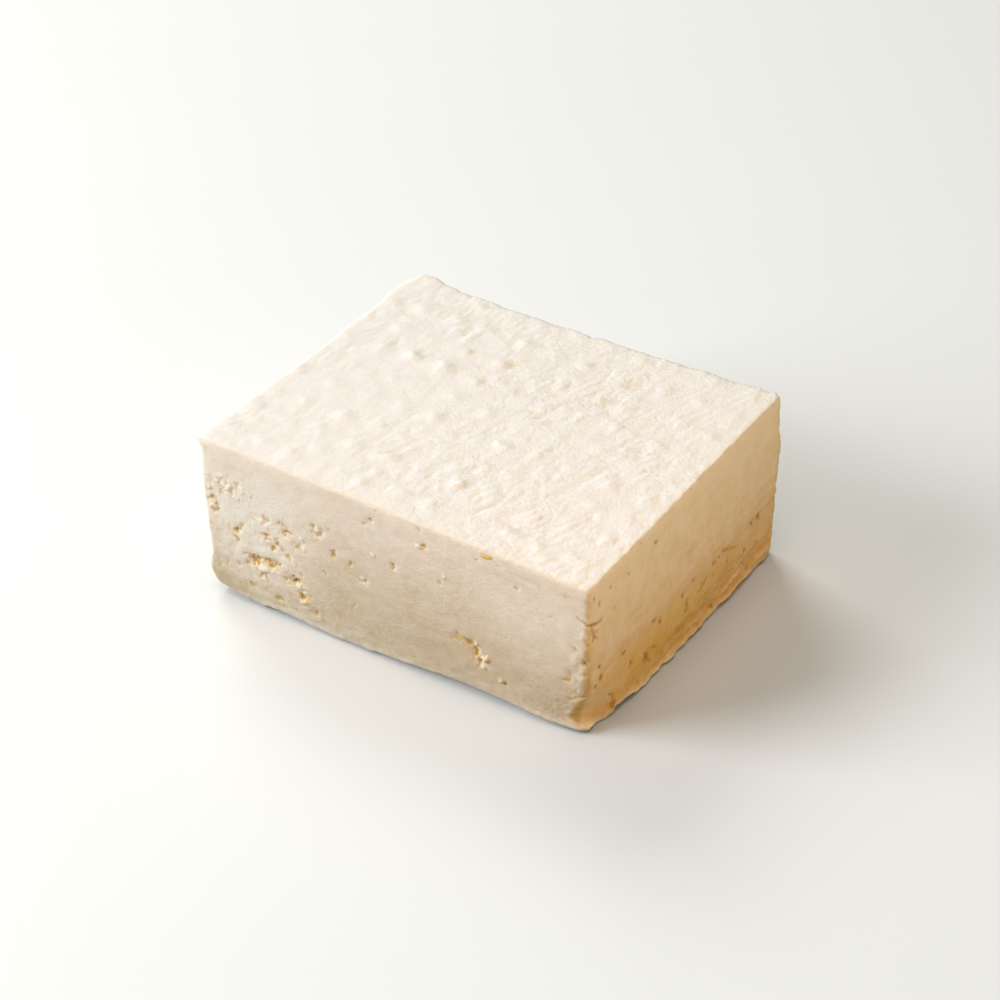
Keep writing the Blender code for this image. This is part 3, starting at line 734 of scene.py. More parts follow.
def open_hollow(hollow, depth, lip, amber):
    """Sinks one hollow, with a shallow dish round it, a broken lip on its rim, and whey and painted shade in
    it.
    """
    amount = OUTLINE_WANDER * min(hollow.wide, hollow.tall)
    chosen, places, radius = round_mark(hollow, max(hollow.wide, hollow.tall) * 1.6 + 0.8, amount)
    uneven = 1 + 0.4 * hills(places, 0.7, 53)
    shaded = RIGHT_DEPTH if hollow.face == "right" else 1.0
    pit = DEPTH_SHARE * shaded * hollow.deep * uneven * fade(radius, *WALL)
    dish = DISH_SHARE * hollow.deep * np.exp(-((radius / DISH_REACH) ** 2))
    depth[chosen] = np.maximum(depth[chosen], pit + dish)
    crumbly = np.clip(0.25 + hills(places, 0.8, 54), 0, 1)
    ring = np.exp(-(((radius - LIP_RADIUS) / LIP_WIDTH) ** 2)) * crumbly
    lip[chosen] = np.maximum(lip[chosen], LIP_HEIGHT * min(1.0, hollow.deep) * ring)
    stain_and_shade = fade(radius, *STAIN_AND_SHADE_RIM) * min(1.0, shaded * (LEAST_STAIN_AND_SHADE + STAIN_AND_SHADE_BY_DEPTH * hollow.deep))
    halo = HALO_STAIN_AND_SHADE * min(1.0, hollow.deep) * np.exp(-((radius / HALO_REACH) ** 2))
    amber[chosen] = np.maximum(amber[chosen], stain_and_shade) + halo


def small_hollows():
    """More small hollows at random, in the loose curd of the front face and low on the right face."""
    dice = np.random.default_rng(75)
    for face, count, middle, spread, highest in SMALL_HOLLOWS:
        for _ in range(count):
            across, up = dice.normal(middle, spread)
            wide, tall, deep = dice.uniform((0.6, 0.6, 0.4), (1.7, 1.7, 0.9))
            yield Hollow(face, across, np.clip(up, 3, highest), wide, tall, deep, dice.uniform(-45, 45))


hollow_depth = np.zeros(len(form))
lip_height = np.zeros(len(form))
amber = np.zeros(len(form))
for hollow in (*HOLLOWS, *small_hollows()):
    open_hollow(hollow, hollow_depth, lip_height, amber)
print("hollows:", len(HOLLOWS), "deepest, mm:", round(float(hollow_depth.max()), 2))

# %% [markdown]
# Some cracks are long and thin, and some run round the front right edge. A crack follows a short path over
# the unrolled sides, and its depth comes from each point's distance to that path. The level ones low on the
# right face are the seams between the folds.

# %% Cut the cracks
Crack = namedtuple("Crack", "face path wide deep")
CRACKS = marks_on_faces(Crack, {
    "front": (
        (((47.6, 34.4), (49.2, 33.4), (51.0, 32.6), (53.2, 31.7), (54.4, 32.2)), 0.55, 0.9),
        (((50.6, 32.6), (51.6, 30.0), (52.9, 27.8)), 0.5, 0.7),
        (((45.6, 3.6), (47.6, 4.6), (49.6, 6.4), (53.2, 7.6)), 0.6, 0.5),
        (((45.2, 18.4), (45.6, 17.2), (45.2, 16.0), (44.2, 15.4)), 0.7, 1.2),
        (((46.2, 10.6), (47.6, 11.0), (48.8, 12.4)), 0.65, 1.2),
        (((-35.6, 39.8), (-36.9, 37.8), (-37.5, 35.4), (-37.4, 31.0)), 0.6, 0.14),
        (((18.6, 15.9), (20.6, 15.2), (21.6, 14.2), (22.2, 12.2), (22.8, 10.4)), 0.5, 0.9),
    ),
    "right": (
        (((15.6, 16.2), (17.8, 15.1), (21.6, 13.5)), 0.35, 0.8),
        (((4.6, 11.2), (7.0, 12.2), (9.2, 13.7)), 0.35, 0.6),
        (((-18.0, 9.9), (-17.2, 8.2), (-15.0, 5.6)), 0.4, 0.8),
        (((-32.4, 7.7), (-30.6, 6.6), (-30.0, 4.2), (-30.0, 1.6)), 0.4, 0.6),
        (((-20.0, 3.4), (-19.6, 1.6)), 0.4, 0.6),
        (((-4.0, 5.8), (6.0, 5.2), (16.0, 5.6), (26.0, 6.8), (34.0, 7.6)), 0.5, 0.36),
        (((2.0, 3.9), (12.0, 3.3), (22.0, 3.8), (32.0, 5.2)), 0.45, 0.34),
        (((8.0, 7.6), (18.0, 7.4), (28.0, 9.0)), 0.4, 0.24),
        (((-12.0, 2.4), (0.0, 2.0), (10.0, 1.7)), 0.4, 0.24),
    ),
})
# Shares of a crack's width where its wall starts and ends.
CRACK_WALL = (1.0, 0.2)
CRACK_STAIN_AND_SHADE = 1.2


def path_distance(places, path):
    """Each place's distance to the nearest stretch of a path."""
    nearest = np.full(len(places), np.inf)
    for start, end in zip(path[:-1], path[1:]):
        start, run = np.array(start), np.array(end) - start
        share = np.clip((places - start) @ run / (run @ run), 0, 1)
        nearest = np.minimum(nearest, np.linalg.norm(places - start - share[:, None] * run, axis=1))
    return nearest


def cut_crack(crack, depth, amber):
    """Sinks one crack, thinner here and there, with whey and painted shade in it."""
    middle = np.mean(crack.path, axis=0)
    reach = np.ptp(crack.path, axis=0).max() / 2 + 2 + np.abs(np.array(crack.path) - middle).max() / 2
    chosen, offset = spot_points(crack.face, *middle, reach)
    places = form[chosen]
    offset = offset + middle + wander(places, 0.45)
    thinning = 0.75 + 0.5 * hills(places, 1.6, 55)
    inside = thinning * fade(path_distance(offset, crack.path) / crack.wide, *CRACK_WALL)
    shaded = RIGHT_DEPTH if crack.face == "right" else 1.0
    depth[chosen] = np.maximum(depth[chosen], DEPTH_SHARE * shaded * crack.deep * inside)
    amber[chosen] = np.maximum(amber[chosen], min(1.0, CRACK_STAIN_AND_SHADE * crack.deep) * np.clip(inside, 0, 1))


for crack in CRACKS:
    cut_crack(crack, hollow_depth, amber)
print("cracks:", len(CRACKS))

# %% [markdown]
# Where the curd tore instead of being cut, its grains stand free as a rough patch, and crumbs of curd stick
# up. The larger crumbs are placed one by one, and single grains are strewn where the curd is loose. Tiny
# pinholes are scattered over all the cut faces. The pinholes, the troughs between the grains and the troughs
# of the folds are painted honey or tan, partly whey and partly painted shade.

# %% Roughen the torn patches and add crumbs and pinholes
Patch = namedtuple("Patch", "face across up wide tall turn sink")
PATCHES = marks_on_faces(Patch, {
    "front": (
        (-44.8, 31.8, 9.0, 5.0, 8, 0.0), (-48.0, 26.5, 4.0, 9.0, 0, 0.05), (-35.0, 14.4, 8.0, 3.4, 8, 0.12),
        (-34.6, 26.6, 3.6, 2.6, 60, 0.06), (-25.0, 23.2, 5.0, 3.0, 30, 0.10),
        (-28.0, 18.6, 4.0, 2.4, 0, 0.10), (-26.0, 10.6, 5.4, 4.6, -30, 0.10),
        (-19.4, 29.8, 4.8, 3.6, 0, 0.08), (-7.3, 21.0, 3.6, 2.2, 0, 0.05), (22.4, 12.8, 4.2, 7.4, 25, 0.25),
        (49.0, 19.0, 2.6, 8.0, 0, 0.05), (51.2, 29.4, 4.6, 5.0, 0, 0.25), (47.6, 12.6, 3.4, 3.8, -20, 0.10),
    ),
    "right": (
        (-17.0, 8.0, 5.0, 5.0, 0, 0.15), (18.0, 15.0, 7.0, 3.0, -24, 0.12), (31.5, 15.2, 7.0, 3.0, 0, 0.12),
        (-30.6, 5.4, 3.6, 5.0, 0, 0.15),
    ),
    "back": (
        (-29.5, 20.5, 9.0, 8.0, 20, 0.15),
    ),
    "left": (
        (-18.0, 13.0, 6.0, 5.0, 0, 0.15), (38.5, 27.0, 3.0, 11.0, 0, 0.20),
    ),
})
Crumb = namedtuple("Crumb", "face across up wide tall high turn")
CRUMBS = marks_on_faces(Crumb, {
    "front": (
        (8.2, 36.8, 1.5, 1.1, 0.5, 10), (10.8, 36.8, 1.0, 0.7, 0.3, 0), (14.4, 31.3, 1.3, 0.8, 0.4, 20),
        (-4.2, 29.3, 1.6, 1.3, 0.35, 40), (22.2, 15.8, 1.6, 0.9, 0.5, -20), (23.0, 14.6, 1.1, 1.0, 0.5, 0),
        (24.2, 12.4, 1.7, 2.6, 0.8, -32), (23.6, 9.9, 1.7, 1.3, 0.55, 0), (28.3, 7.9, 1.5, 1.2, 0.7, -20),
        (-24.2, 7.6, 2.4, 1.0, 0.45, 6), (-25.4, 11.2, 2.2, 1.2, 0.4, -40), (-35.0, 12.3, 2.8, 1.2, 0.4, 10),
        (-19.3, 29.8, 1.3, 1.3, 0.4, 0), (-37.3, 32.0, 0.9, 0.8, 0.4, 0), (-7.3, 21.5, 2.2, 0.9, 0.35, 10),
        (-10.0, 25.3, 0.9, 1.2, 0.3, 0), (48.3, 20.0, 1.8, 13.0, 0.22, -6), (46.9, 22.4, 2.0, 4.6, 0.28, -10),
        (49.0, 30.0, 1.8, 2.6, 0.28, 0),
    ),
    "right": (
        (5.4, 10.6, 1.2, 0.6, 0.3, 20),
    ),
    "top": (
        (-47.4, 41.0, 2.6, 1.8, 0.3, 15), (47.9, 42.1, 0.9, 0.9, 0.5, 0),
    ),
})
# How many on the face, and the middle and the spread of the single grains.
SMALL_CRUMBS = (
    ("front", 26, (-44.8, 31.6), (2.6, 1.5)),
    ("front", 14, (-48.4, 26.0), (0.9, 3.2)),
    ("front", 16, (-31.0, 17.0), (6.0, 5.0)),
)
GRAINS = ((2.6, 0.13, 61), (1.3, 0.15, 62), (0.8, 0.11, 65))
# Shares of the radius where a torn patch and a crumb start and where they are whole.
TORN_RIM = (1.25, 0.45)
CRUMB_RIM = (1.2, 0.3)
# Heights of the grains, and of the folds, where whey and painted shade start to show in the troughs and where
# they are strongest.
GRAIN_TROUGH = (-0.04, -0.24)
GRAIN_STAIN_AND_SHADE = 0.6
FOLD_TROUGH = (-0.08, -0.24)
FOLD_STAIN_AND_SHADE = 0.34
PINHOLE_SPACING = 2.6
# The hills that hold pinholes are higher than this.
PINHOLE_LEVEL = 0.05
PINHOLE_RADIUS = 0.30
PINHOLE_DEPTH = 0.28
PINHOLE_STAIN_AND_SHADE = 2.2


def roughen(patch, skin_push, amber, torn_share):
    """Lets the grains of one torn patch stand free, sunk a little, with whey and painted shade between them.
    """
    chosen, places, radius = round_mark(patch, max(patch.wide, patch.tall), 0.8)
    torn = fade(radius, *TORN_RIM)
    lumps = layers(billows, places, GRAINS)
    skin_push[chosen] += torn * (lumps - patch.sink)
    amber[chosen] = np.maximum(amber[chosen], GRAIN_STAIN_AND_SHADE * torn * fade(lumps, *GRAIN_TROUGH))
    torn_share[chosen] = np.maximum(torn_share[chosen], torn)


def raise_crumb(crumb, skin_push):
    chosen, _, radius = round_mark(crumb, max(crumb.wide, crumb.tall) * 0.9, 0.4)
    skin_push[chosen] += crumb.high * fade(radius, *CRUMB_RIM)


def pinholes():
    """Fine holes on the cut faces: one in some of the cells of a coarse grain pattern."""
    places = form[side_points]
    depth = np.zeros(len(form))
    gap = grain_distance(places, PINHOLE_SPACING, 63) * PINHOLE_SPACING / PINHOLE_RADIUS
    some = hills(places, 7.0, 64) > PINHOLE_LEVEL
    depth[side_points] = PINHOLE_DEPTH * some * fade(gap, 1.0, 0.4)
    return depth


def small_crumbs():
    """Single grains of curd at random, where the curd of the front face tore."""
    dice = np.random.default_rng(76)
    for face, count, middle, spread in SMALL_CRUMBS:
        for _ in range(count):
            across, up = dice.normal(middle, spread)
            wide, tall, high = dice.uniform((0.7, 0.6, 0.16), (1.5, 1.2, 0.42))
            yield Crumb(face, across, up, wide, tall, high, dice.uniform(-45, 45))


rough_push = np.zeros(len(form))
torn_share = np.zeros(len(form))
for patch in PATCHES:
    roughen(patch, rough_push, amber, torn_share)
for crumb in (*CRUMBS, *small_crumbs()):
    raise_crumb(crumb, rough_push)
pin_depth = pinholes()
hollow_depth = np.maximum(hollow_depth, pin_depth)
amber = np.maximum(amber, PINHOLE_STAIN_AND_SHADE * pin_depth)
amber += FOLD_STAIN_AND_SHADE * fade(right_folds, *FOLD_TROUGH) * face_weight("right")
print("torn patches:", len(PATCHES), "crumbs:", len(CRUMBS))

# %% [markdown]
# ## Edges
# The knife leaves the front and right top edges crisp. The back top edge tore a little as the knife came
# out, in shallow bites a few millimetres long. All the small relief moves the points along the directions
# of the cut form, so a hollow near an edge sinks square to its own face. Nothing may hang below the base
# that it rests on.

# %% Break the back edge and put everything together
BACK_BITES = ((4.0, 0.14, 71), (2.2, 0.18, 72), (0.9, 0.10, 73))
EDGE_REACH = 2.2
FORM_SHIFT = (-0.04, -0.36)


def back_edge_bites():
    """The torn bites of the back top edge, which change only along it."""
    edge = np.hypot(HALF[1] - box_points[:, 1], HALF[2] - box_points[:, 2])
    return fade(edge, EDGE_REACH, 0) * layers(hills, form * (1, 0, 0), BACK_BITES)


def point_normals(points, quads):
    """The outward direction at every point, from the faces round it."""
    crossed = np.cross(points[quads[:, 2]] - points[quads[:, 0]], points[quads[:, 3]] - points[quads[:, 1]])
    normals = np.zeros_like(points)
    for corner in range(4):
        for axis in range(3):
            normals[:, axis] += np.bincount(quads[:, corner], crossed[:, axis], len(points))
    return normals / np.linalg.norm(normals, axis=1, keepdims=True)


normals = point_normals(form, box_quads)
push = lip_height + rough_push - hollow_depth + back_edge_bites()
skin += normals * push[:, None]
skin[:, 2] = np.maximum(skin[:, 2], -HALF[2])
# Puts the block back over the middle of the solid, with its base on the table.
skin += (block_centre[0] + FORM_SHIFT[0], block_centre[1] + FORM_SHIFT[1], HALF[2])
print("skin, mm:", skin.min(axis=0).round(2), skin.max(axis=0).round(2))

# %% [markdown]
# ## Tones of the curd
# Curd is never one colour. Whey sinks through it, so a cut face is palest near the top and turns yellower
# towards the base, in clouds and level streaks; that yellowing also holds painted shade, darker towards the
# base. The right face is painted tan as warm shade and warm bounced light, most at its foot, but for a
# paler stretch at each end.

# %% Work out the whey yellow and the tan
# The whey tone is also painted shade, so the sides darken towards the base.
# Height up a face, in mm, and how strong the tone is there.
WHEY_AND_SHADE_BY_HEIGHT = (
    (0, 0.15), (1.5, 0.25), (3.2, 0.64), (6, 0.78), (12, 0.78), (22, 0.64), (32, 0.29), (38, 0.21))
# The tan is painted warm shade and warm bounced light on the right face, darkest near its base.
TAN_BY_HEIGHT = (
    (0, 0.30), (1.2, 0.45), (2.6, 0.88), (6, 0.92), (12, 0.66), (22, 0.32), (32, 0.14), (38, 0.04), (43, 0.0))
CLOUDS = ((6.0, 0.10, 91), (2.4, 0.11, 92), (1.1, 0.11, 93), (0.55, 0.06, 94))
STREAK_SIZE = 1.5
STREAK_STRETCH = (9, 9, 1)
STREAK = 0.16
TORN_PALER = 0.7
PRESSED_PALER = 0.6
# Place, reach and change of whey: the loose curd, the corner below it, a pale stretch towards the right of
# the front face and another high on its left. The two pale stretches are painted light.
WHEY_AND_LIGHT_SPOTS = (
    (*LOOSE_CURD, -0.62),
    ((-48.0, -41.6, 1.0), (16.0, 10.0, 9.0), 0.60),
    ((38.0, -41.6, 24.0), (22.0, 8.0, 14.0), -0.28),
    ((-50.0, -41.6, 34.0), (46.0, 12.0, 30.0), -0.20),
)
# Painted shade: the right face gets a share of the whey tone.
RIGHT_WHEY_AND_SHADE = 0.21
# Distances from the top edges, in mm, where the tone of their thin rim starts and where it is full.
RIM = (0.91, 0.21)
RIM_WHEY = 0.45
# Place, reach and share of the tan that is left out. The front right edge and the pale foot lose some too.
TAN_SPARED = (
    ((50.0, -41.6, 8.0), (10.0, 19.0, 8.0), 0.6),
    ((50.0, 24.0, 5.0), (10.0, 32.0, 7.0), 0.36),
)
EDGE_WIDTH = 5.0
EDGE_TAN_SPARED = 0.6
# Place and reach of the small foot below the front right corner, which is left out of the painted tan shade
# and glow.
PALE_FOOT = ((50.0, -41.6, 0.0), (8.0, 9.0, 4.6))
PALE_FOOT_GAIN = 1.6
FOOT_TAN_SPARED = 0.8
# Depths under the top and over the base, in mm, between which the curd goes from cut to pressed.
PRESSED_SKIN = (1.0, 0.2)


def side_tones_and_shade():
    """The share of whey yellow with painted shade, and of tan with painted warm shade, at each point of the
    cut faces.
    """
    pale_sides = np.max([face_weight(name) for name in ("front", "left", "back")], axis=0)
    clouds = layers(hills, form, CLOUDS)
    streaks = STREAK * hills(form, STREAK_SIZE, 95, STREAK_STRETCH) * smooth_step(hills(form, 16.0, 96) + 0.5)
    whey_and_shade = np.interp(up_place, *zip(*WHEY_AND_SHADE_BY_HEIGHT)) * (1 - TORN_PALER * torn_share) + clouds + streaks
    whey_and_shade += sum(change * near(box_points, place, reach) for place, reach, change in WHEY_AND_LIGHT_SPOTS)
    tan = np.interp(up_place, *zip(*TAN_BY_HEIGHT)) + clouds + streaks
    whey_and_shade = (whey_and_shade * pale_sides + RIGHT_WHEY_AND_SHADE * right) * (1 - PRESSED_PALER * pressed)
    side_gap = np.min(HALF[:2] - np.abs(box_points[:, :2]), axis=1)
    rim = fade(np.hypot(side_gap, HALF[2] - box_points[:, 2]), *RIM)
    tan = np.clip(tan, 0, 1) * right * (1 - EDGE_TAN_SPARED * near_edge) * (1 - FOOT_TAN_SPARED * on_foot)
    for place, reach, spared in TAN_SPARED:
        tan *= 1 - spared * near(box_points, place, reach)
    return np.maximum(np.clip(whey_and_shade, 0, 1), RIM_WHEY * rim), tan


# 1 where the cloth or the board pressed the curd, and 0 where the knife cut it.
pressed = fade(HALF[2] - np.abs(box_points[:, 2]), *PRESSED_SKIN)
right = face_weight("right")
near_edge = fade(HALF[1] + box_points[:, 1], EDGE_WIDTH, 0)
on_foot = smooth_step(PALE_FOOT_GAIN * near(box_points, *PALE_FOOT))
whey_and_shade, tan = side_tones_and_shade()
print("mean tones: whey", round(float(whey_and_shade.mean()), 3), "tan", round(float(tan.mean()), 3))

# %% [markdown]
# The hollows and the dips in the top are painted honey: partly whey that they hold, partly painted warm
# shade.
# Near the front right edge the right face gets a painted glow, as of light through thin curd, and the chip
# and the foot of the right face get painted warm bounced light.

# %% Work out the honey tone
DIP_SHARE = 0.30
# Painted glow on the right face near its front edge, where light comes through the thin curd.
GLOW = 0.30
GLOW_TOP = (34, 26)
# Place, reach, rise from the base and strength of the honey tone on the chipped corner, which is painted warm
# bounced light.
CHIPPED_CORNER = ((51.0, -41.6, 7.0), (4.5, 8.0, 8.0))
CHIP_RISE = (1.5, 4.5)
CHIP_HONEY = 0.75
# Place, reach and strength of the honey tone along the foot of the right face, which is painted warm bounced
# light.
FOOT_BOUNCE = ((50.0, -16.0, 12.0), (10.0, 60.0, 10.0))
FOOT_HONEY = 0.45


def honey_glow():
    """The honey tone that no hollow makes: a painted glow near the front right edge and painted warm bounced
    light on the chip and the foot.
    """
    edge = GLOW * near_edge * fade(up_place, *GLOW_TOP) * right
    chip = CHIP_HONEY * near(box_points, *CHIPPED_CORNER) * fade(up_place, *CHIP_RISE)
    foot = FOOT_HONEY * near(box_points, *FOOT_BOUNCE) * right
    return np.max([edge, chip, foot], axis=0) * (1 - on_foot)


honey = np.clip(np.max([amber * (1 - right), DIP_SHARE * dip_shade, honey_glow()], axis=0), 0, 1)
print("mean tone: honey", round(float(honey.mean()), 3))

# %% [markdown]
# ## From points to a piece
# The quads become one closed mesh. Seven facts go with each point, for the finish to read. Two say how
# strongly the cloth grain and the curd grain show, one says whether the press or the knife made the face,
# and four say how strong each tone is; these tones also carry painted shade and painted glow. The lattice
# is finer than the flat parts need, so a Decimate modifier, applied at once, spends the triangles on the
# relief.

# %% Make the block
TRIANGLE_BUDGET = 190_000
WEAVE_LEFT = 0.4
WEAVE_RISE = (-40, 20)

facts = {
    "pressed": pressed,
    "whey_and_shade": whey_and_shade,
    "tan": tan,
    "amber": honey,
    # deep is a darker honey in the right face's hollows and cracks, as painted shade.
    "deep": np.clip(amber * right, 0, 1),
    "weave": pressed * (WEAVE_LEFT + (1 - WEAVE_LEFT) * fade(form[:, 0], *WEAVE_RISE)),
    "grain": 1 - pressed,
}


def new_piece(name, points, faces, facts):
    """A smooth mesh object from points in mm, with its facts as point attributes."""
    mesh = bpy.data.meshes.new(name)
    mesh.from_pydata(points * MM, [], faces)
    for fact, values in facts.items():
        attribute = mesh.attributes.new(fact, "FLOAT", "POINT")
        attribute.data.foreach_set("value", values.astype(np.float32))
    mesh.shade_smooth()
    piece = bpy.data.objects.new(name, mesh)
    bpy.context.scene.collection.objects.link(piece)
    return piece


def apply_modifiers(piece):
    shown = piece.evaluated_get(bpy.context.evaluated_depsgraph_get())
    piece.modifiers.clear()
    piece.data = bpy.data.meshes.new_from_object(shown)


block = new_piece("tofu", skin, box_quads, facts)
triangles = 2 * len(box_quads)
if triangles > TRIANGLE_BUDGET:
    decimate = block.modifiers.new("thin_out", "DECIMATE")
    decimate.ratio = TRIANGLE_BUDGET / triangles
    apply_modifiers(block)
block.data.name = "tofu"
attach(block, BODY)
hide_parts(NODE)
print("tofu faces:", len(block.data.polygons), "facts:", [a.name for a in block.data.attributes])

# %% [markdown]
# A fleck of bean skin went through the strainer and shows in the front face, near the top edge. It is a
# thin flake, half a millimetre thick at most, yellower than the curd and half sunk in it.

# %% Set the bean-skin fleck
FLECK_PLACE = ("front", 25.4, 41.1)
FLECK_REACH = 0.4
FLECK_SIZE = np.array((1.6, 0.25, 0.42))
FLECK_CURL = 0.25
FLECK_WRINKLE = 0.2


def ball():
    """The points and triangles of a ball, as arrays."""
    mesh = bmesh.new()
    bmesh.ops.create_icosphere(mesh, subdivisions=2, radius=1.0)
    points = np.array([vert.co for vert in mesh.verts])
    triangles = np.array([[vert.index for vert in face.verts] for face in mesh.faces])
    mesh.free()
    return points, triangles


def flake(ball_points):
    """A ball pressed flat against the front face, with its two ends curled up and its rim uneven."""
    spot = spot_points(*FLECK_PLACE, FLECK_REACH)[0][0]
    points = ball_points * FLECK_SIZE
    points[:, 2] += FLECK_CURL * points[:, 0] ** 2 / FLECK_SIZE[0]
    return skin[spot] + points * (1 + FLECK_WRINKLE * hills(points * 2, 1.0, 83)[:, None])


ball_points, ball_triangles = ball()
fleck = new_piece("bean_skin", flake(ball_points), ball_triangles, {})
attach(fleck, BODY)
print("fleck, mm:", np.array(fleck.dimensions).round(4) / MM)

# %% [markdown]
# ## The finish of curd
# Pressed bean curd is a wet, pale, cloudy solid. Light goes in a few millimetres, loses its blue first and
# comes out near by, so thin edges glow and hollows turn honey-coloured. Subsurface scattering gives that,
# with a mean path that is longer for red than for blue. Its water makes the gloss: water's IOR is 1.33, and
# soy protein raises it a little, while the fine grain breaks the gloss up into a broad, dull sheen.

# %% Colours and a helper for nodes
CURD_IOR = 1.38


def linear(code):
    """Turns an sRGB hex code to the linear colour that Blender's sockets take."""
    parts = [int(code[n:n + 2], 16) / 255 for n in (1, 3, 5)]
    return [part / 12.92 if part <= 0.04045 else ((part + 0.055) / 1.055) ** 2.4 for part in parts] + [1.0]


def add_node(tree, kind, inputs=None, **settings):
    """Adds a node, sets its settings, and gives each named or numbered input a value or a link."""
    node = tree.nodes.new(kind)
    for name, value in settings.items():
        setattr(node, name, value)
    for socket, value in (inputs or {}).items():
        if isinstance(value, bpy.types.NodeSocket):
            tree.links.new(value, node.inputs[socket])
        else:
            node.inputs[socket].default_value = value
    return node


def new_material(name):
    """A material with its tree of nodes, its shader and the place of each point on the piece, in metres."""
    material = bpy.data.materials.new(name)
    material.use_nodes = True
    tree = material.node_tree
    where = add_node(tree, "ShaderNodeTexCoord").outputs["Object"]
    return material, tree, tree.nodes["Principled BSDF"], where


def add_mix(tree, share, first, second):
    """The output of a node that mixes two colours, given as hex codes or links."""
    colours = [linear(colour) if isinstance(colour, str) else colour for colour in (first, second)]
    inputs = {0: share, 6: colours[0], 7: colours[1]}
    return add_node(tree, "ShaderNodeMix", inputs, data_type="RGBA").outputs[2]


def per_mm(size):
    """The texture scale that gives a pattern of this size, in mm."""
    return 1 / (size * MM)


# %% [markdown]
# The colour is mixed from what a cook sees: dry cream on the pressed top, a moister cream on the cut sides,
# and over it whey yellow, tan and honey, each as strong as its tone at the point. These tones are partly the
# curd's own and partly painted shade and painted glow. The hollows of the right face get a darker honey, as
# painted shade. The fine grain is bump: cloth grain on the top and finer curd grain on the cuts, both too
# small for the mesh.

# %% Curd
PRESSED_CREAM = "#f2eadf"
CUT_CREAM = "#f7ead6"
TONES = {"whey_and_shade": "#ceba95", "tan": "#ca9c46", "amber": "#dab256", "deep": "#b0802f"}
CURD_GRAIN_SIZE = 0.5
CURD_GRAIN_HEIGHT = 0.17
CLOTH_GRAIN_SIZE = 0.8
CLOTH_GRAIN_HEIGHT = 0.20
CURD_ROUGHNESS = 0.70
# How far light goes in the curd, in mm, and its share for red, green and blue.
LIGHT_PATH = 1.7
LIGHT_PATH_SHARES = (1.0, 0.90, 0.70)


def add_grain(tree, where, size, detail, height, strength, under=None):
    """The bump of one grain over the one under it, with its size and height in mm."""
    noise = add_node(tree, "ShaderNodeTexNoise", {"Vector": where, "Scale": per_mm(size), "Detail": detail})
    inputs = {"Height": noise.outputs["Fac"], "Distance": height * MM, "Strength": strength}
    if under:
        inputs["Normal"] = under
    return add_node(tree, "ShaderNodeBump", inputs).outputs["Normal"]


def curd_material():
    material, tree, shader, where = new_material("momen_curd")
    facts = {name: add_node(tree, "ShaderNodeAttribute", attribute_name=name).outputs["Fac"] for name in
             ("pressed", "weave", "grain", *TONES)}

    # Colour: cloth side or cut side, then each tone over it.
    colour = add_mix(tree, facts["pressed"], CUT_CREAM, PRESSED_CREAM)
    for name, tone in TONES.items():
        colour = add_mix(tree, facts[name], colour, tone)
    tree.links.new(colour, shader.inputs["Base Color"])

    # Bump: curd grain on the cuts, and over it the cloth grain on the top.
    cut = add_grain(tree, where, CURD_GRAIN_SIZE, 2.0, CURD_GRAIN_HEIGHT, facts["grain"])
    cloth = add_grain(tree, where, CLOTH_GRAIN_SIZE, 1.5, CLOTH_GRAIN_HEIGHT, facts["weave"], cut)
    tree.links.new(cloth, shader.inputs["Normal"])

    shader.inputs["Roughness"].default_value = CURD_ROUGHNESS
    shader.inputs["IOR"].default_value = CURD_IOR
    shader.inputs["Subsurface Weight"].default_value = 1.0
    shader.inputs["Subsurface Radius"].default_value = LIGHT_PATH_SHARES
    shader.inputs["Subsurface Scale"].default_value = LIGHT_PATH * MM
    return material


curd = curd_material()
block.data.materials.append(curd)
print("curd:", len(curd.node_tree.nodes), "nodes")

# %% [markdown]
# Bean skin is a tough, thin hull. It is amber yellow, a little uneven, and glossier than the curd.

# %% Bean skin
HULL_TONES = ("#f0c04a", "#dba632")
HULL_VEIN_SIZE = 0.6
HULL_ROUGHNESS = 0.4


def hull_material():
    material, tree, shader, where = new_material("bean_hull")
    veins = add_node(tree, "ShaderNodeTexNoise", {"Vector": where, "Scale": per_mm(HULL_VEIN_SIZE)})
    tree.links.new(add_mix(tree, veins.outputs["Fac"], *HULL_TONES), shader.inputs["Base Color"])
    shader.inputs["Roughness"].default_value = HULL_ROUGHNESS
    return material


fleck.data.materials.append(hull_material())
print("materials:", [material.name for material in bpy.data.materials])

# %% [markdown]
# ## Floor and light
# The block lies on a plain pale board, whose faint uneven tone keeps it from looking like empty paper. It
# is large enough to fill the view, and it throws no light back on the block: the lamps do that alone.

# %% Floor
FLOOR_SIZE = 3.0
FLOOR_TONES = ("#e2ded7", "#dedad2")
FLOOR_CLOUD_SIZE = 180
FLOOR_ROUGHNESS = 0.85


def floor_material():
    material, tree, shader, where = new_material("pale_board")
    inputs = {"Vector": where, "Scale": per_mm(FLOOR_CLOUD_SIZE), "Detail": 2.0}
    clouds = add_node(tree, "ShaderNodeTexNoise", inputs)
    tree.links.new(add_mix(tree, clouds.outputs["Fac"], *FLOOR_TONES), shader.inputs["Base Color"])
    shader.inputs["Roughness"].default_value = FLOOR_ROUGHNESS
    return material


floor_mesh = bpy.data.meshes.new("floor")
corner = FLOOR_SIZE / 2
floor_corners = [(-corner, -corner, 0), (corner, -corner, 0), (corner, corner, 0), (-corner, corner, 0)]
floor_mesh.from_pydata(floor_corners, [], [(0, 1, 2, 3)])
floor = bpy.data.objects.new("floor", floor_mesh)
floor.location.z = block_low.z
floor.data.materials.append(floor_material())
bpy.context.scene.collection.objects.link(floor)
floor.visible_diffuse = False
print("floor at z =", round(floor.location.z, 4))

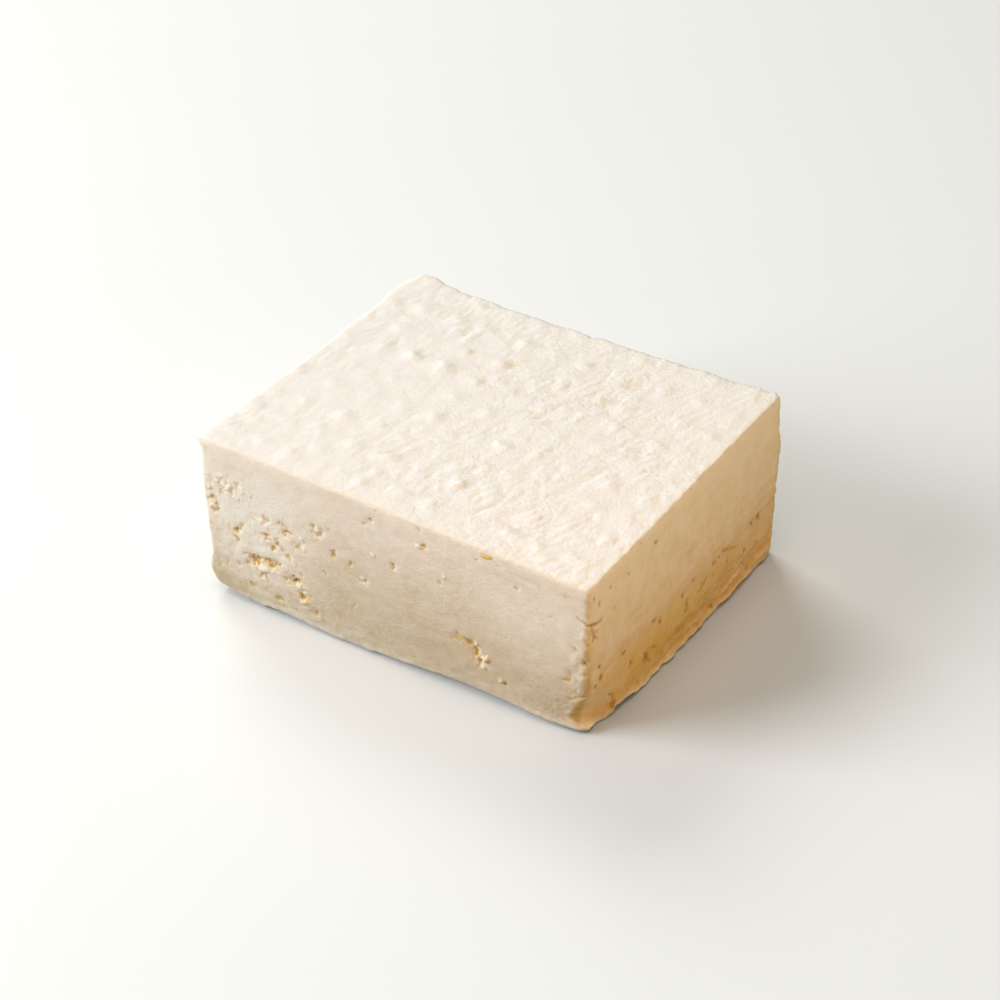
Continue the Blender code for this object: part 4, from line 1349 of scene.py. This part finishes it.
# %% [markdown]
# A wide soft lamp from the block's left and a little behind is the main light, so it rakes over the top and
# shows the cloth bumps. A weaker one in front opens the front face. The right face gets little but two
# small warm lamps, one of them low down, which stand in for a wooden counter that throws light back on
# food. They light the food alone, and one more lamp from above lights the floor alone, so that it stays
# even and pale.

# %% Lamps and sky
# Round and above the block in degrees, distance and size in metres, power in watts, and colour.
LAMPS = {
    "window": (-125, 40, 2.2, 1.10, 26.9, "#f7fdff"),
    "front_fill": (-48, 26, 1.10, 0.61, 15.24, "#ecf4ff"),
    "warm_side": (50, 30, 0.36, 0.20, 0.30, "#ffbb71"),
    "warm_bounce": (92, 8, 0.36, 0.42, 0.83, "#ffeec6"),
    "floor_wash": (30, 78, 2.40, 1.60, 24.0, "#ffffff"),
}
SKY = "#fff7e4"
SKY_STRENGTH = 0.12


def soft_lamp(name, round_angle, above_angle, distance, size, power, code):
    """A square area lamp that faces the block from a place round it and above it."""
    lamp_data = bpy.data.lights.new(name, "AREA")
    lamp_data.size = size
    lamp_data.energy = power
    lamp_data.color = linear(code)[:3]
    lamp = bpy.data.objects.new(name, lamp_data)
    bpy.context.scene.collection.objects.link(lamp)
    lamp.location = aim + direction(math.radians(round_angle), math.radians(above_angle)) * distance
    look_at(lamp, aim)
    lamp.visible_camera = False
    return lamp


def light_only(lamps, things, name):
    """Keeps the light of some lamps for some things."""
    lit = bpy.data.collections.new(name)
    for thing in things:
        lit.objects.link(thing)
    for lamp in lamps:
        lamp.light_linking.receiver_collection = lit


lamps = {name: soft_lamp(name, *numbers) for name, numbers in LAMPS.items()}
light_only([lamps["floor_wash"]], [floor], "lit_floor")
light_only([lamps["warm_side"], lamps["warm_bounce"]], [block, fleck], "lit_food")

world = bpy.data.worlds.new("pale_studio")
world.use_nodes = True
sky = world.node_tree.nodes["Background"]
sky.inputs["Color"].default_value = linear(SKY)
sky.inputs["Strength"].default_value = SKY_STRENGTH
bpy.context.scene.world = world
bpy.context.scene.view_settings.view_transform = "Standard"
print("lamps:", list(lamps))
